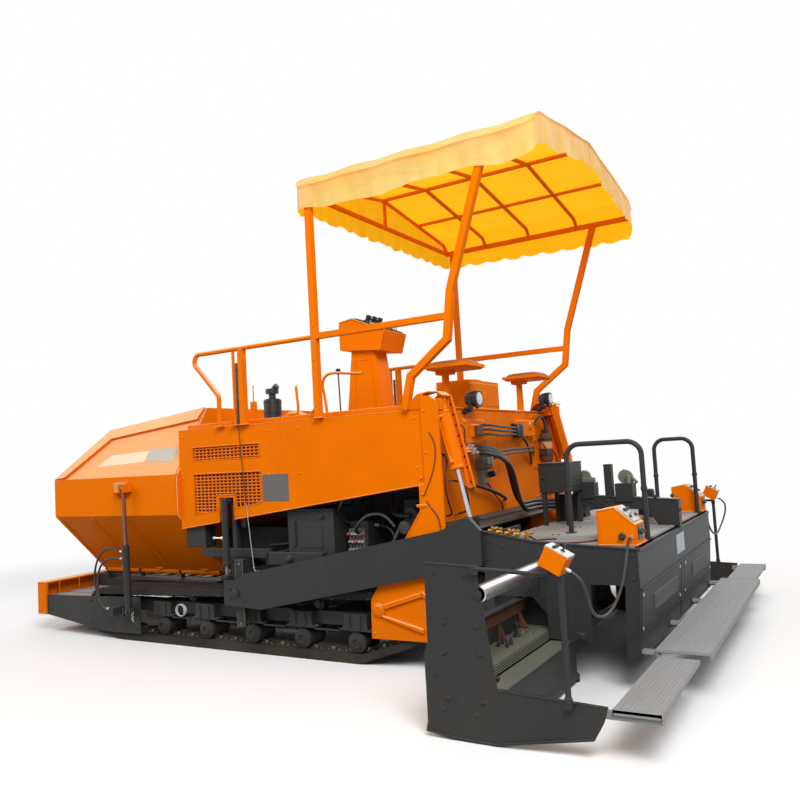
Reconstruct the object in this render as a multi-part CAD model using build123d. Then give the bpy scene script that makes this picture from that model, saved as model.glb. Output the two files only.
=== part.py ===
"""Tracked asphalt paver with raised hopper wings and an extended screed.

Frame: +X forward (towards the hopper), +Y left, +Z up, millimetres. Ground is z = 0.
Stations along X are counted from the rear face of the engine bay; when a piece is written it
is moved by -MID_X, so that the origin lies on the ground under the middle of the machine.
Left-hand pieces are modelled, and right-hand ones are their mirror images in the plane y = 0.
"""
from build123d import *
import math
import os

os.makedirs("parts", exist_ok=True)

# ---------------------------------------------------------------- driving dimensions
MID_X = 1344                 # station of the middle of the length
PLATE = 12                   # common plate thickness
HALF_BODY = 1220             # outer face of the side panels
BAY_FRONT = 2377             # front end of the engine bay
DECK_Z = 1790                # top of the operator's platform
PANEL_TOP = 1806             # upper edge of the side panels

TRACK_IN, TRACK_OUT = 895, 1215
TRACK_BELT = 55              # thickness of chain and shoe together
SHOE_PITCH, SHOE_GAP, SHOE_GROOVE = 165, 12, 24
SPROCKET = (280, 330, 200)   # x, z, radius over the shoes
IDLER = (3420, 245, 200)
GROUND_REAR = (650, 130, 130)
GROUND_FRONT = (3180, 130, 130)
ROLLER_X = [690, 1195, 1700, 2205, 2710]
ROLLER_R = 78

TUNNEL_Y = 640               # inner face of the conveyor tunnel's walls
TUNNEL_TOP = 930
HINGE_Y, HINGE_Z = 700, 530  # hopper wing hinge
WING_REAR, WING_FRONT = 2397, 4007
WING_CORNER = (1248, 1100)   # y, z of the outer fold
WING_SHOULDER = (1248, 1436)
WING_CREST = (850, 2036)
BUMPER_X = (4190, 4310)
SIDE_PLATE_Y = (1222, 1238)  # the chassis plates outside the tracks
WING_RAM_X = 2965
WING_RAM_FOOT = (1310, 270)  # y, z
WING_RAM_EYE = (1330, 1340)
WING_BARREL = 575            # from the foot pin to the gland

TOW_PIN = (1732, 475)        # x, z
ARM_Y = (1250, 1290)
LIFT_TOP = (-120, 1850)      # x, z of the upper pin of the screed lift ram
LIFT_EYE = (-300, 1020)
LIFT_Y = 1160
LIFT_BARREL, LIFT_NECK = 485, 70         # from the top pin to the gland, and to the thick part

AUGER = (-200, 330, 165)     # x, z, radius
AUGER_Y = (85, 1190)

SCREED_FRONT, SCREED_REAR = -420, -1425
SCREED_HALF = 1250
SCREED_FOLD = 620
GUIDE_Z, GUIDE_R = 755, 45
GUIDE_X = {"left": -850, "right": -990}
END_Y = 2265                 # inner face of the end plate with the extension out
EXT_X = (-960, -615)         # rear and front of the extension's sole
EXT_BLOCK = (-826, 340)      # rear face and top of the tamper block
EXT_STRIP = (-945, 280)      # rear face and top of the strip behind it
EXT_TOP = 535                # top of the extension's front wall
EXT_IN = 1085
SHOE_REAR = -600             # rear end of the main screed's bottom
END_BOLTS = (-745, 330, 200, 240)        # middle x and z, spacing along x and z
END_BOLT_R = 9
WALK_MAIN = (-1792, -1490)
WALK_EXT = (-1736, -1512)

RAIL_Y = 1238
RAIL_Z = 2428
POST_FRONT_X = 875
CANOPY_X = (-985, 990)
CANOPY_HALF = 1285
RIDGE_Z, EAVE_Z, HEM_Z = 3866, 3690, 3345

# Hoses and cables: diameter, and the corner points of each route from end to end.
REMOTE_CABLE = (16, [
    (-1338, 2297, 903.6), (-1408.6, 2297, 866.1), (-1424, 2272, 790), (-1412, 2200, 716),
    (-1396, 2090, 650), (-1388, 1965, 605), (-1386, 1830, 590), (-1386, 1700, 606),
    (-1386, 1575, 650), (-1386, 1465, 715), (-1386, 1385, 800), (-1386, 1328, 880),
    (-1386, 1272, 925), (-1386, 1215, 925)])
WING_HOSES = [
    (18, [(3010, 1320, 790), (3052, 1320, 790), (3100, 1321, 812), (3155, 1322, 822),
          (3215, 1323, 812), (3285, 1324, 776), (3338, 1325, 715), (3372, 1325, 640),
          (3385, 1324, 560), (3380, 1322, 480), (3360, 1318, 405), (3328, 1314, 340),
          (3285, 1311, 292), (3235, 1310, 270), (3180, 1310, 270)]),
    (18, [(3010, 1319, 730), (3100, 1319, 730), (3185, 1332, 726), (3262, 1344, 680),
          (3308, 1347, 600), (3318, 1346, 505), (3314, 1344, 425), (3292, 1340, 350),
          (3248, 1334, 297), (3181.2, 1334, 290)])]
LIFT_HOSE = (34, [
    (-22, 560, 1530), (-127, 560, 1530), (-216, 522, 1503), (-262, 440, 1445),
    (-258, 345, 1360), (-240, 262, 1250), (-232, 180, 1128), (-232, 85, 1054)])
LIFT_TAIL = (34, [
    (-232, -178, 1054), (-284, -275, 1050), (-385, -332, 1048), (-500, -332, 1048)])
HOSE_FAN = (-30, 26, -26)    # from one hose of the bundle to the next
HOSE_SPLIT_Y = -35           # where the tractor's half of the bundle ends and the screed's starts
WALL_LINES = [
    (14, [(-22, 1080, 1490), (-90, 1080, 1490), (-127, 1112, 1430), (-127, 1166, 1340),
          (-127, 1166, 1240), (-124, 1130, 1145), (-120, 1076, 1078), (-86, 1035, 1045),
          (-22, 1035, 1045)]),
    (14, [(-22, 905, 1290), (-97, 905, 1290), (-150, 895, 1232), (-150, 850, 1105),
          (-97, 842, 1045), (-22, 842, 1045)])]
VALVE_HOSE = (22, [
    (640, 900, 970), (538, 900, 970), (466, 902, 898), (466, 902, 797), (538, 900, 725),
    (640, 900, 725)])


# ---------------------------------------------------------------- helpers
def box(x, y, z):
    """A box from three (low, high) pairs."""
    size = [high - low for low, high in (x, y, z)]
    mid = [(high + low) / 2 for low, high in (x, y, z)]
    return Pos(*mid) * Box(*size)


def side_plate(points, y):
    """A plate outlined in (x, z), between two values of y."""
    face = Plane.XZ * make_face(Polyline(*points, close=True))
    return Pos(0, y[1], 0) * extrude(face, amount=y[1] - y[0])


def cross_plate(points, x):
    """A plate outlined in (y, z), between two values of x."""
    face = Plane.YZ * make_face(Polyline(*points, close=True))
    return Pos(x[0], 0, 0) * extrude(face, amount=x[1] - x[0])


def band(points, thickness):
    """The outline of a bent sheet: the given line, and the same line set off to its right."""
    inner = []
    for k, point in enumerate(points):
        dirs = []
        for a, b in ((k - 1, k), (k, k + 1)):
            if a >= 0 and b < len(points):
                run = Vector(*points[b]) - Vector(*points[a])
                dirs.append(run.normalized())
        bisector = (dirs[0] + dirs[-1]).normalized()
        reach = thickness / bisector.dot(dirs[0])
        inner.append((point[0] + bisector.Y * reach, point[1] - bisector.X * reach))
    return list(points) + inner[::-1]


def rod(start, end, radius):
    """A round bar between two points."""
    line = Vector(*end) - Vector(*start)
    return Plane(origin=start, z_dir=line) * Cylinder(
        radius, line.length, align=(Align.CENTER, Align.CENTER, Align.MIN))


def cross_rod(x, z, radius, y):
    """A round bar along Y."""
    return rod((x, y[0], z), (x, y[1], z), radius)


def long_rod(y, z, radius, x):
    """A round bar along X."""
    return rod((x[0], y, z), (x[1], y, z), radius)


def tube_run(points, radius, bend):
    """A round bar along a bent path with the same radius at every bend."""
    path = FilletPolyline(*points, radius=bend)
    return sweep(Plane(path ^ 0) * Circle(radius), path)


def fan(points, k):
    """A route of the bundle, moved over to its hose number k."""
    return [Vector(*point) + Vector(*HOSE_FAN) * k for point in points]


def split(points):
    """The bundle's level stretch, cut at the plane between tractor and screed."""
    return Vector(points[0].X, HOSE_SPLIT_Y, points[0].Z)


def hose(name, diameter, points):
    """A tube of straight runs joined by tangent arcs, each arc as large as its two runs allow."""
    spots = [Vector(*point) for point in points]
    radii = []
    for before, here, after in zip(spots, spots[1:], spots[2:]):
        turn = math.radians((here - before).get_angle(after - here))
        shorter = min((here - before).length, (after - here).length)
        radii.append(0.45 * shorter / math.tan(turn / 2))
    path = FilletPolyline(*spots, radius=radii)
    tube = sweep(Plane(path ^ 0) * Circle(diameter / 2), path)
    share = tube.volume / (path.length * math.pi * diameter ** 2 / 4)
    print(f"{name}: length {path.length:.0f}, smallest radius {min(radii):.0f} = "
          f"{min(radii) / diameter:.1f} diameters, volume share {share:.4f}")
    return tube


def both(part):
    """The piece and its mirror image, as solids of one node."""
    return Compound(children=[*part.solids(), *mirror(part, about=Plane.XZ).solids()])


def solids(*parts):
    """Separate solids that share a node."""
    return Compound(children=[solid for part in parts for solid in part.solids()])


def fuse(*parts):
    """One solid from pieces that meet."""
    whole = parts[0]
    for part in parts[1:]:
        whole = whole + part
    return whole


# ---------------------------------------------------------------- tracks
def loop_face(inset):
    """The side view of the track: the hull of its four guiding circles, set in by inset."""
    rims = []
    for x, z, radius in (SPROCKET, IDLER, GROUND_REAR, GROUND_FRONT):
        rims += (Pos(x, z) * Circle(radius - inset)).edges()
    return make_hull(rims)


def track():
    """One closed loop, with a groove between each pair of shoes."""
    outer = loop_face(0)
    rim = outer.faces()[0].outer_wire()
    count = round(rim.length / SHOE_PITCH)
    face = outer - loop_face(TRACK_BELT)
    for k in range(count):
        spot = rim.position_at(k / count)
        way = rim.tangent_at(k / count)
        turn = math.degrees(math.atan2(way.Y, way.X))
        face -= Pos(spot.X, spot.Y) * Rot(0, 0, turn) * Rectangle(SHOE_GAP, 2 * SHOE_GROOVE)
    return Pos(0, TRACK_OUT, 0) * extrude(Plane.XZ * face, amount=TRACK_OUT - TRACK_IN)


def track_wheels():
    """Sprocket, idler and the five bottom rollers, each a drum with a hub."""
    wheels = []
    for x, z, radius in (SPROCKET, IDLER):
        drum = cross_rod(x, z, radius - TRACK_BELT - 2, (985, 1125))
        wheels.append(drum + cross_rod(x, z, 70, (880, 1160)))
    for x in ROLLER_X:
        z = TRACK_BELT + 2 + ROLLER_R
        wheels.append(cross_rod(x, z, ROLLER_R, (960, 1150)))
    return both(solids(*wheels))


def track_frame():
    """The beam inside the loop, the yokes over the rollers and the arms to the chassis."""
    beam = box((450, 3215), (1000, 1110), (245, 345))
    yokes = []
    for x in ROLLER_X:
        roof = box((x - 105, x + 105), (945, 1165), (225, 345))
        skirt = box((x - 140, x + 140), (945, 1165), (222, 236))
        yokes.append(roof + skirt)
    arms = [box((x - 120, x + 120), (TUNNEL_Y + 30, 1000), (250, 340)) for x in (900, 2450)]
    return both(fuse(beam, *yokes, *arms))


# ---------------------------------------------------------------- chassis
def main_frame():
    """Tunnel walls from the augers to the hopper, its roof and floor, and the hinge pins."""
    wall_line = [(120, 285), (4190, 285), (4190, 470), (BAY_FRONT, 470),
                 (BAY_FRONT, TUNNEL_TOP), (120, TUNNEL_TOP)]
    wall = side_plate(wall_line, (TUNNEL_Y, TUNNEL_Y + 30))
    frame = wall + mirror(wall, about=Plane.XZ)
    frame += box((120, BAY_FRONT), (-TUNNEL_Y, TUNNEL_Y), (TUNNEL_TOP - 20, TUNNEL_TOP))
    frame += box((120, 4190), (-TUNNEL_Y, TUNNEL_Y), (285, 300))
    shelf = box((BAY_FRONT, 3670), (TUNNEL_Y + 30, 880), (462, 470))
    frame += shelf + mirror(shelf, about=Plane.XZ)
    for side in (1, -1):
        pin = long_rod(side * HINGE_Y, HINGE_Z, 16, (WING_REAR, WING_FRONT))
        frame += pin
        for x in (WING_REAR + 20, 2930, 3470, WING_FRONT - 45):
            lug = cross_plate([(side * 645, 440), (side * 700, 440), (side * 718, 522),
                               (side * 712, 545), (side * 690, 548), (side * 674, 470),
                               (side * 645, 470)], (x, x + 25))
            frame += lug
    return frame


def front_chassis():
    """Side plates outside the tracks, with the low deck behind the bumper."""
    line = [(2910, 66), (3389, 66), (4190, 171), (4190, 352), (2910, 383)]
    plate = side_plate(line, SIDE_PLATE_Y)
    deck = box((3670, 4190), (TUNNEL_Y + 30, SIDE_PLATE_Y[0]), (336, 348))
    web = box((3670, 3690), (TUNNEL_Y + 30, SIDE_PLATE_Y[0]), (190, 336))
    lugs = [box((x, x + 14), (SIDE_PLATE_Y[1], 1340), (232, 306))
            for x in (WING_RAM_X - 48, WING_RAM_X + 34)]
    hose_block = box((3120, 3180), (SIDE_PLATE_Y[1], 1350), (240, 300))
    return both(fuse(plate, deck, web, hose_block, *lugs))


def front_bumper():
    """A hollow beam across the nose with the brackets of the push rollers."""
    beam = box(BUMPER_X, (-1249, 1249), (169, 471))
    beam -= box((BUMPER_X[0] - 1, BUMPER_X[1] - PLATE), (-1230, 1230), (169 + PLATE, 471 - PLATE))
    for y in (-760, -20, 20, 760):
        low, high = (y - 12, y + 12)
        beam += box((4300, 4440), (low, high), (290, 370))
    for y in (-390, 390):
        beam += cross_rod(4400, 330, 20, (y - 370, y + 370))
    return beam


def push_roller():
    """A free drum against the truck's tyres."""
    return cross_rod(4400, 330, 80, (42, 738)) - cross_rod(4400, 330, 20.3, (0, 800))


def conveyor():
    """The two slat lanes that carry the mix back through the tunnel."""
    lanes = box((130, 4120), (-600, 600), (392, 404))
    lanes += box((130, 4120), (-40, 40), (404, 452))
    for x in range(200, 4100, 300):
        lanes += box((x, x + 45), (-600, 600), (404, 430))
    ends = [cross_rod(x, 350, 40, (-600, 600)) for x in (175, 4075)]
    feet = box((130, 4120), (-20, 20), (300, 392))
    return fuse(lanes, feet, *ends)


def front_flap():
    """The rubber apron between the wings at the truck's end."""
    return box((4040, 4060), (-600, 600), (455, 620)) + box((4040, 4100), (-600, 600), (453, 465))


def rear_side_plate():
    """The plate beside the augers that carries the rear end, with its radiating ribs."""
    line = [(-60, 205), (500, 200), (492, 466), (428, 566), (190, 800), (190, 895), (45, 1105), (45, 1275),
            (-2, 1275), (-2, 1900), (-70, 1895), (-120, 1860), (-140, 1800), (-140, 420)]
    plate = side_plate(line, SIDE_PLATE_Y)
    boss = cross_rod(425, 404, 38, (SIDE_PLATE_Y[1], SIDE_PLATE_Y[1] + 8))
    hanger = side_plate([(-265, 265), (60, 265), (60, 470), (-265, 400)], (1206, SIDE_PLATE_Y[0]))
    stay = box((-2, 45), (670, SIDE_PLATE_Y[0]), (985, 1030))
    return both(fuse(plate, boss, hanger, stay))


# ---------------------------------------------------------------- engine bay
def side_panels():
    """The louvred side sheets, each with the slot for the leveling ram and two vent windows."""
    line = [(0, 1279), (0, PANEL_TOP), (BAY_FRONT, PANEL_TOP), (BAY_FRONT, 972), (1940, 1028),
            (1940, 1228), (1785, 1228), (1785, 1048)]
    sheet = side_plate(line, (HALF_BODY - 25, HALF_BODY))
    sheet -= side_plate([(1488, 1545), (2222, 1545), (2222, 1650), (1488, 1650)], (1000, 1400))
    sheet -= side_plate([(1482, 1185), (1760, 1148), (1760, 1255), (1962, 1255), (1962, 1125),
                         (2218, 1098), (2218, 1426), (1482, 1426)], (1000, 1400))
    return both(sheet)


def vent_screens():
    """Thin screens behind the windows of both side panels."""
    y = (HALF_BODY - 35, HALF_BODY - 26)
    upper = side_plate([(1470, 1530), (2240, 1530), (2240, 1665), (1470, 1665)], y)
    lower = side_plate([(1466, 1200), (1742, 1163), (1742, 1272), (1980, 1272), (1980, 1120),
                        (2236, 1092), (2236, 1440), (1466, 1440)], y)
    return both(solids(upper, lower))


def engine_block():
    """The engine as one plain block at its real place and size."""
    return box((950, 2050), (-400, 380), (TUNNEL_TOP + 60, 1640)) + box(
        (1000, 2000), (-300, 280), (TUNNEL_TOP, TUNNEL_TOP + 60))


def tanks():
    """The oil tank and valve block on a shelf under the left panel, and the fuel tank on the right."""
    tank = box((850, 1290), (700, 1150), (740, 1120))
    foot = box((870, 1270), (670, 1000), (600, 740))
    block = box((640, 800), (760, 1000), (700, 1010))
    shelf = box((600, 880), (670, 1060), (660, 705))
    fuel = box((600, 1500), (-1150, -690), (700, 1130)) + box((640, 1460), (-900, -670), (600, 700))
    return solids(fuse(tank, foot, block, shelf), fuel)


def platform():
    """The operator's floor over the engine bay, on its edge beams."""
    floor = box((0, BAY_FRONT - 40), (-1194, 1194), (DECK_Z - 15, DECK_Z))
    floor += box((0, BAY_FRONT - 40), (-1194, -1150), (DECK_Z - 70, DECK_Z - 15))
    floor += box((0, BAY_FRONT - 40), (1150, 1194), (DECK_Z - 70, DECK_Z - 15))
    for x in (200, 1150, 2150):
        for y in (-660, 660):
            floor += box((x, x + 50), (y - 20, y + 20), (TUNNEL_TOP, DECK_Z - 15))
    return floor


def rear_wall():
    """The bulkhead behind the platform, open over the tunnel, with the raised middle box."""
    line = [(-1216, 620), (-660, 620), (-660, 935), (660, 935), (660, 620), (1216, 620),
            (1216, 1830), (-1216, 1830)]
    wall = cross_plate(line, (-22, -2))
    locker = box((-22, 260), (-105, 480), (DECK_Z, 2055)) - box((0, 240), (-85, 460), (DECK_Z, 2035))
    ears = [box((LIFT_TOP[0] - 45, -22), (LIFT_Y + dy, LIFT_Y + dy + 12), (1790, 1872)) for dy in (-56, 44)]
    ears += [mirror(ear, about=Plane.XZ) for ear in ears]
    starts = [fan(LIFT_HOSE[1][:1], k)[0] for k in (1, 2)]
    fittings = [rod((-22, start.Y, start.Z), start, 19) for start in starts]
    return fuse(wall, locker, *ears, *fittings)


def hopper_bulkhead():
    """The wall between hopper and engine bay, which follows the raised wings' outline."""
    line = [(645, 470), (720, 550), WING_CORNER, WING_SHOULDER, (865, 2014), (-865, 2014),
            (-WING_SHOULDER[0], WING_SHOULDER[1]), (-WING_CORNER[0], WING_CORNER[1]),
            (-720, 550), (-645, 470), (-645, 900), (645, 900)]
    return cross_plate(line, (BAY_FRONT + 1, WING_REAR - 7))


def leveling_ram():
    """The ram over the tow point, its guide post and the bracket back to the chassis."""
    ram = rod((1840, 1266, 690), (1840, 1266, 1212), 27)
    ram += rod((1840, 1266, 600), (1840, 1266, 690), 14)
    ram += box((1818, 1862), (1244, 1286), (592, 612))
    head = cross_rod(1840, 1200, 18, (1120, 1262))
    tie = box((1818, 1862), (1120, 1160), (990, 1225))
    post = box((1690, 1775), (1222, 1244), (205, 735))
    foot = box((1775, 1862), (1222, 1244), (592, 700))
    arm = box((1690, 1880), (670, 1222), (655, 735))
    strut = box((1818, 1862), (1120, 1160), (735, 990))
    pin = cross_rod(*TOW_PIN, 20, (1244, 1300))
    return both(fuse(ram, head, tie, post, foot, arm, strut, pin))


def auger_drive():
    """The chain case between the augers and the shaft ends at the hangers."""
    case = box((-285, 120), (-70, 70), (240, 760))
    case += box((60, 140), (-TUNNEL_Y, TUNNEL_Y), (700, 790))
    stubs = [cross_rod(AUGER[0], AUGER[1], 20, (side * 1180, side * 1206)) for side in (1, -1)]
    return solids(case, *stubs)


def auger():
    """A shaft with half-turn flights, each tilted to follow the pitch."""
    x, z, radius = AUGER
    low, high = AUGER_Y
    pitch = 300
    whole = rod((0, 0, 0), (0, 0, high - low - 15), 42)
    disc = Cylinder(radius, 12) - Cylinder(30, 12)
    half = disc & Pos(radius, 0, 0) * Box(2 * radius, 2 * radius, 12)
    tilt = math.degrees(math.atan2(pitch / 2, 2 * radius)) * 0.9
    count = int((high - low - 60) / (pitch / 2))
    for k in range(count):
        spot = Pos(0, 0, 75 + k * pitch / 2) * Rot(0, 0, 180 * k)
        whole += spot * Rot(tilt, 0, 0) * half
    shaft = Pos(x, low, z) * Rot(-90, 0, 0) * whole
    return shaft - cross_rod(x, z, 20.3, (1100, 1250))


# ---------------------------------------------------------------- hopper wings
def wing():
    """The folded wing in its raised place, cut to its side outline, with hinge sleeves."""
    start = (HINGE_Y + 18, HINGE_Z + 19.6)
    sheet_line = band([start, WING_CORNER, WING_SHOULDER, WING_CREST][::-1], -PLATE)
    sheet = cross_plate(sheet_line, (WING_REAR, WING_FRONT))
    outline = side_plate([(WING_REAR, 400), (WING_FRONT, 400), (WING_FRONT, 1436), (3560, 1880),
                          (WING_REAR, 2014)], (500, 1400))
    shell = sheet & outline
    for x0, x1 in ((WING_REAR + 52, 2923), (2962, 3463), (3502, WING_FRONT - 52)):
        shell += long_rod(HINGE_Y, HINGE_Z, 30, (x0, x1)) - long_rod(HINGE_Y, HINGE_Z, 16.3, (x0, x1))
    for x in (3050, 3500, 3950):
        rib = [(HINGE_Y + 60, HINGE_Z + 62), (HINGE_Y + 92, HINGE_Z + 62), (1240, 1060), (1240, 1092)]
        shell += cross_plate(rib, (x, x + PLATE))
    for x in (WING_RAM_X - 31, WING_RAM_X + 19):
        shell += box((x, x + 12), (1247, 1362), (1305, 1375))
    return shell


def ram(foot, eye, barrel, x, bore):
    """The two halves of a ram in the plane across x: barrel from its foot, rod to its eye."""
    way = (Vector(0, *eye) - Vector(0, *foot)).normalized()
    start = Vector(x, *foot)
    end = Vector(x, *eye)
    gland = start + way * barrel
    tube = rod(start, gland, bore + 8)
    tube += rod(Vector(x - 15, *foot), Vector(x + 15, *foot), bore + 13)
    tube -= rod(start + way * 40, gland + way, bore)
    tube += rod(gland - way * 30, gland, bore + 4) - rod(gland - way * 31, gland + way, 16.3)
    piston = start + way * (barrel - 60)
    stick = rod(piston, piston + way * 28, bore - 1)
    stick += rod(piston, end, 16)
    stick += rod(Vector(x - 14, *eye), Vector(x + 14, *eye), 26)
    return tube, stick


def wing_ram():
    """Barrel and rod of the left wing's ram, rod out, with a boss for each hose."""
    tube, stick = ram(WING_RAM_FOOT, WING_RAM_EYE, WING_BARREL, WING_RAM_X, 22)
    for _, route in WING_HOSES:
        port = Vector(*route[0])
        tube += rod((WING_RAM_X + 26, port.Y, port.Z), port, 14)
    return tube, stick


def wing_hoses():
    """The two hoses that loop from the barrel's bosses to the block by its foot pin."""
    return solids(*[hose("wing hose", *each) for each in WING_HOSES])


# ---------------------------------------------------------------- operator's station
def console():
    """The pedestal with its wide slanted head."""
    stem = side_plate([(700, DECK_Z), (1080, DECK_Z), (1000, 2400), (780, 2400)], (370, 560))
    head = side_plate([(690, 2360), (1090, 2400), (1090, 2640), (960, 2660), (640, 2520)], (250, 600))
    return stem + head


def seats():
    """A flat pan on its post and foot, left and right."""
    y = 740
    post = rod((40, y, DECK_Z), (40, y, 2130), 28)
    foot = box((0, 120), (y - 70, y + 70), (DECK_Z, DECK_Z + 12))
    pan = box((-212, 132), (y - 172, y + 172), (2120, 2145))
    return both(fuse(post, foot, pan))


def air_cleaner():
    """The black canister that stands on the platform by the left edge."""
    can = rod((1640, 850, DECK_Z), (1640, 850, 2020), 75)
    cap = rod((1640, 850, 2020), (1640, 850, 2090), 30) + rod((1640, 850, 2075), (1640, 850, 2115), 55)
    return can + cap


def handrails():
    """Rails and stanchions ahead of the front posts, left and right."""
    front = tube_run([(POST_FRONT_X + 25, RAIL_Y, RAIL_Z), (2215, RAIL_Y, RAIL_Z),
                      (1880, RAIL_Y, 2060), (1880, RAIL_Y, PANEL_TOP)], 19, 60)
    post = box((1592, 1642), (RAIL_Y - 25, RAIL_Y + 25), (PANEL_TOP, RAIL_Z - 5))
    slim = box((1700, 1718), (RAIL_Y - 9, RAIL_Y + 9), (PANEL_TOP, RAIL_Z - 5))
    return both(fuse(front, post, slim))


def canopy_frame():
    """Front and bent rear posts, the side rails between them, and the roof's ribs."""
    half = 25
    pieces = [box((POST_FRONT_X - half, POST_FRONT_X + half), (RAIL_Y - half, RAIL_Y + half),
                  (PANEL_TOP, 3560))]
    bent = [(92, PANEL_TOP), (35, 2026), (-270, 2256), (-316, 2593), (-640, 3560)]
    pieces.append(side_plate(band(bent, 50), (RAIL_Y - half, RAIL_Y + half)))
    pieces.append(box((-290, POST_FRONT_X), (RAIL_Y - half, RAIL_Y + half), (RAIL_Z - 22, RAIL_Z + 22)))
    eave = box((CANOPY_X[0] + 40, CANOPY_X[1] - 40), (RAIL_Y - 20, RAIL_Y + 20), (3540, 3580))
    pieces.append(eave)
    frame = fuse(*pieces)
    frame += mirror(frame, about=Plane.XZ)
    ridge = box((CANOPY_X[0] + 40, CANOPY_X[1] - 40), (-12, 12), (RIDGE_Z - 60, RIDGE_Z - 36))
    frame += ridge
    for y in (-640, 640):
        z = RIDGE_Z - 52 - (RIDGE_Z - EAVE_Z) * abs(y) / 1180
        frame += box((CANOPY_X[0] + 40, CANOPY_X[1] - 40), (y - 11, y + 11), (z, z + 22))
    rise = [(0, RIDGE_Z - 44), (1160, EAVE_Z - 44), (RAIL_Y, 3560)]
    for x in (CANOPY_X[0] + 40, -470, 10, 480, CANOPY_X[1] - 70):
        rib = cross_plate(band(rise, 22), (x, x + 24))
        frame += rib + mirror(rib, about=Plane.XZ)
    frame += box((CANOPY_X[1] - 70, CANOPY_X[1] - 40), (-RAIL_Y, RAIL_Y), (3545, 3575))
    frame += box((CANOPY_X[1] - 66, CANOPY_X[1] - 44), (-12, 12), (3570, RIDGE_Z - 50))
    return frame


def canopy_cover():
    """The cloth roof: two slopes, rounded eaves and a hanging hem."""
    line = [(0, RIDGE_Z), (1160, EAVE_Z), (CANOPY_HALF - 15, 3590), (CANOPY_HALF, HEM_Z)]
    half = cross_plate(band(line, 8), CANOPY_X)
    return half + mirror(half, about=Plane.XZ)


def work_lamps():
    """A black lamp on the rear wall's edge, left, and one on a taller bracket, right."""
    near = box((-170, -40), (520, 660), (1836, 1940)) + box((-110, -10), (570, 610), (1830, 1840))
    far = box((-170, -60), (-1050, -940), (1885, 2000)) + box((-110, -10), (-1010, -980), (1830, 1890))
    return solids(near, far)


# ---------------------------------------------------------------- screed lift rams
def lift_ram():
    """Barrel and rod of the left lift ram, in the plane across y."""
    way = (Vector(LIFT_EYE[0], 0, LIFT_EYE[1]) - Vector(LIFT_TOP[0], 0, LIFT_TOP[1])).normalized()
    start = Vector(LIFT_TOP[0], LIFT_Y, LIFT_TOP[1])
    end = Vector(LIFT_EYE[0], LIFT_Y, LIFT_EYE[1])
    gland = start + way * LIFT_BARREL
    across = Vector(0, 15, 0)
    tube = rod(start, gland, 38) + rod(start + way * LIFT_NECK, gland, 48)
    tube += rod(start - across, start + across, 43)
    tube -= rod(start + way * (LIFT_NECK + 14), gland + way, 40)
    tube += rod(gland - way * 30, gland, 44) - rod(gland - way * 31, gland + way, 16.3)
    piston = start + way * (LIFT_BARREL - 60)
    stick = rod(piston, piston + way * 28, 39)
    stick += rod(piston, end, 16)
    stick += rod(end - across, end + across, 26)
    return tube, stick


# ---------------------------------------------------------------- screed
def tow_arm():
    """The long arm from the tow pin to the screed, with the lift ram's bracket."""
    line = [(1860, 380), (1860, 578), (1740, 572), (1640, 632), (-130, 970), (-290, 1050),
            (-350, 1050), (-425, 970), (-425, 742), (1480, 362)]
    arm = side_plate(line, ARM_Y) - cross_rod(*TOW_PIN, 20.3, (1200, 1350))
    lugs = [box((-345, -262), (y, y + 12), (965, 1050)) for y in (1118, 1190)]
    base = box((-345, -262), (1118, 1250), (945, 965))
    return both(fuse(arm, base, *lugs))


def screed_frame():
    """Side walls, front beam, rear wall and the guide housings of the extensions."""
    wall_line = [(-346, 800), (-346, 968), (-425, 966), (-769, 903), (SCREED_REAR, 861),
                 (SCREED_REAR, SCREED_FOLD), (-1392, 205), (-1315, 205), (-1335, 640),
                 (-1125, 640), (-1105, 295), (-835, 295), (-835, 548), (-480, 548),
                 (-480, 60), (SCREED_FRONT, 60), (SCREED_FRONT, 742)]
    wall = side_plate(wall_line, (SCREED_HALF - 30, SCREED_HALF))
    frame = wall + mirror(wall, about=Plane.XZ)
    rear = band([(SCREED_REAR, 855), (SCREED_REAR, SCREED_FOLD), (-1392, 210)], -PLATE)
    frame += side_plate(rear, (-SCREED_HALF + 10, SCREED_HALF - 10))
    frame += box((-870, -425), (-SCREED_HALF + 10, SCREED_HALF - 10), (600, 625))
    frame += box((-450, -425), (-SCREED_HALF + 10, SCREED_HALF - 10), (600, 880))
    frame += box((SCREED_REAR, -1300), (-SCREED_HALF + 10, SCREED_HALF - 10), (640, 660))
    for side, x in GUIDE_X.items():
        y = (780, SCREED_HALF) if side == "left" else (-SCREED_HALF, -780)
        frame += box((x - 62, x + 62), y, (GUIDE_Z - 62, GUIDE_Z + 62))
        frame += box((-870, x + 62), y, (625, GUIDE_Z - 62)) if x + 62 > -870 else box(
            (x - 62, -800), y, (660, GUIDE_Z - 62))
    for side, x in GUIDE_X.items():
        y = (700, 1400) if side == "left" else (-1400, -700)
        frame -= cross_rod(x, GUIDE_Z, GUIDE_R + 0.3, y)
    return frame


def screed_plates():
    """The heated bottom with its curved nose and the ribs over it."""
    line = [(SCREED_FRONT, 560), (SCREED_FRONT, 55), (SCREED_FRONT - 40, 0), (SHOE_REAR, 0),
            (SHOE_REAR, 60)]
    shoe = side_plate(band(line, 14), (-SCREED_HALF + 32, SCREED_HALF - 32))
    for y in (-1200, -620, 0, 620, 1200):
        shoe += side_plate([(-434, 40), (-434, 560), (-470, 560), (-540, 130), (-586, 60),
                            (-586, 14), (-460, 14)], (y - 8, y + 8))
    for y in (-900, -300, 300, 900):
        shoe += box((-500, -434), (y - 40, y + 40), (500, 600))
    return shoe


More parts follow.
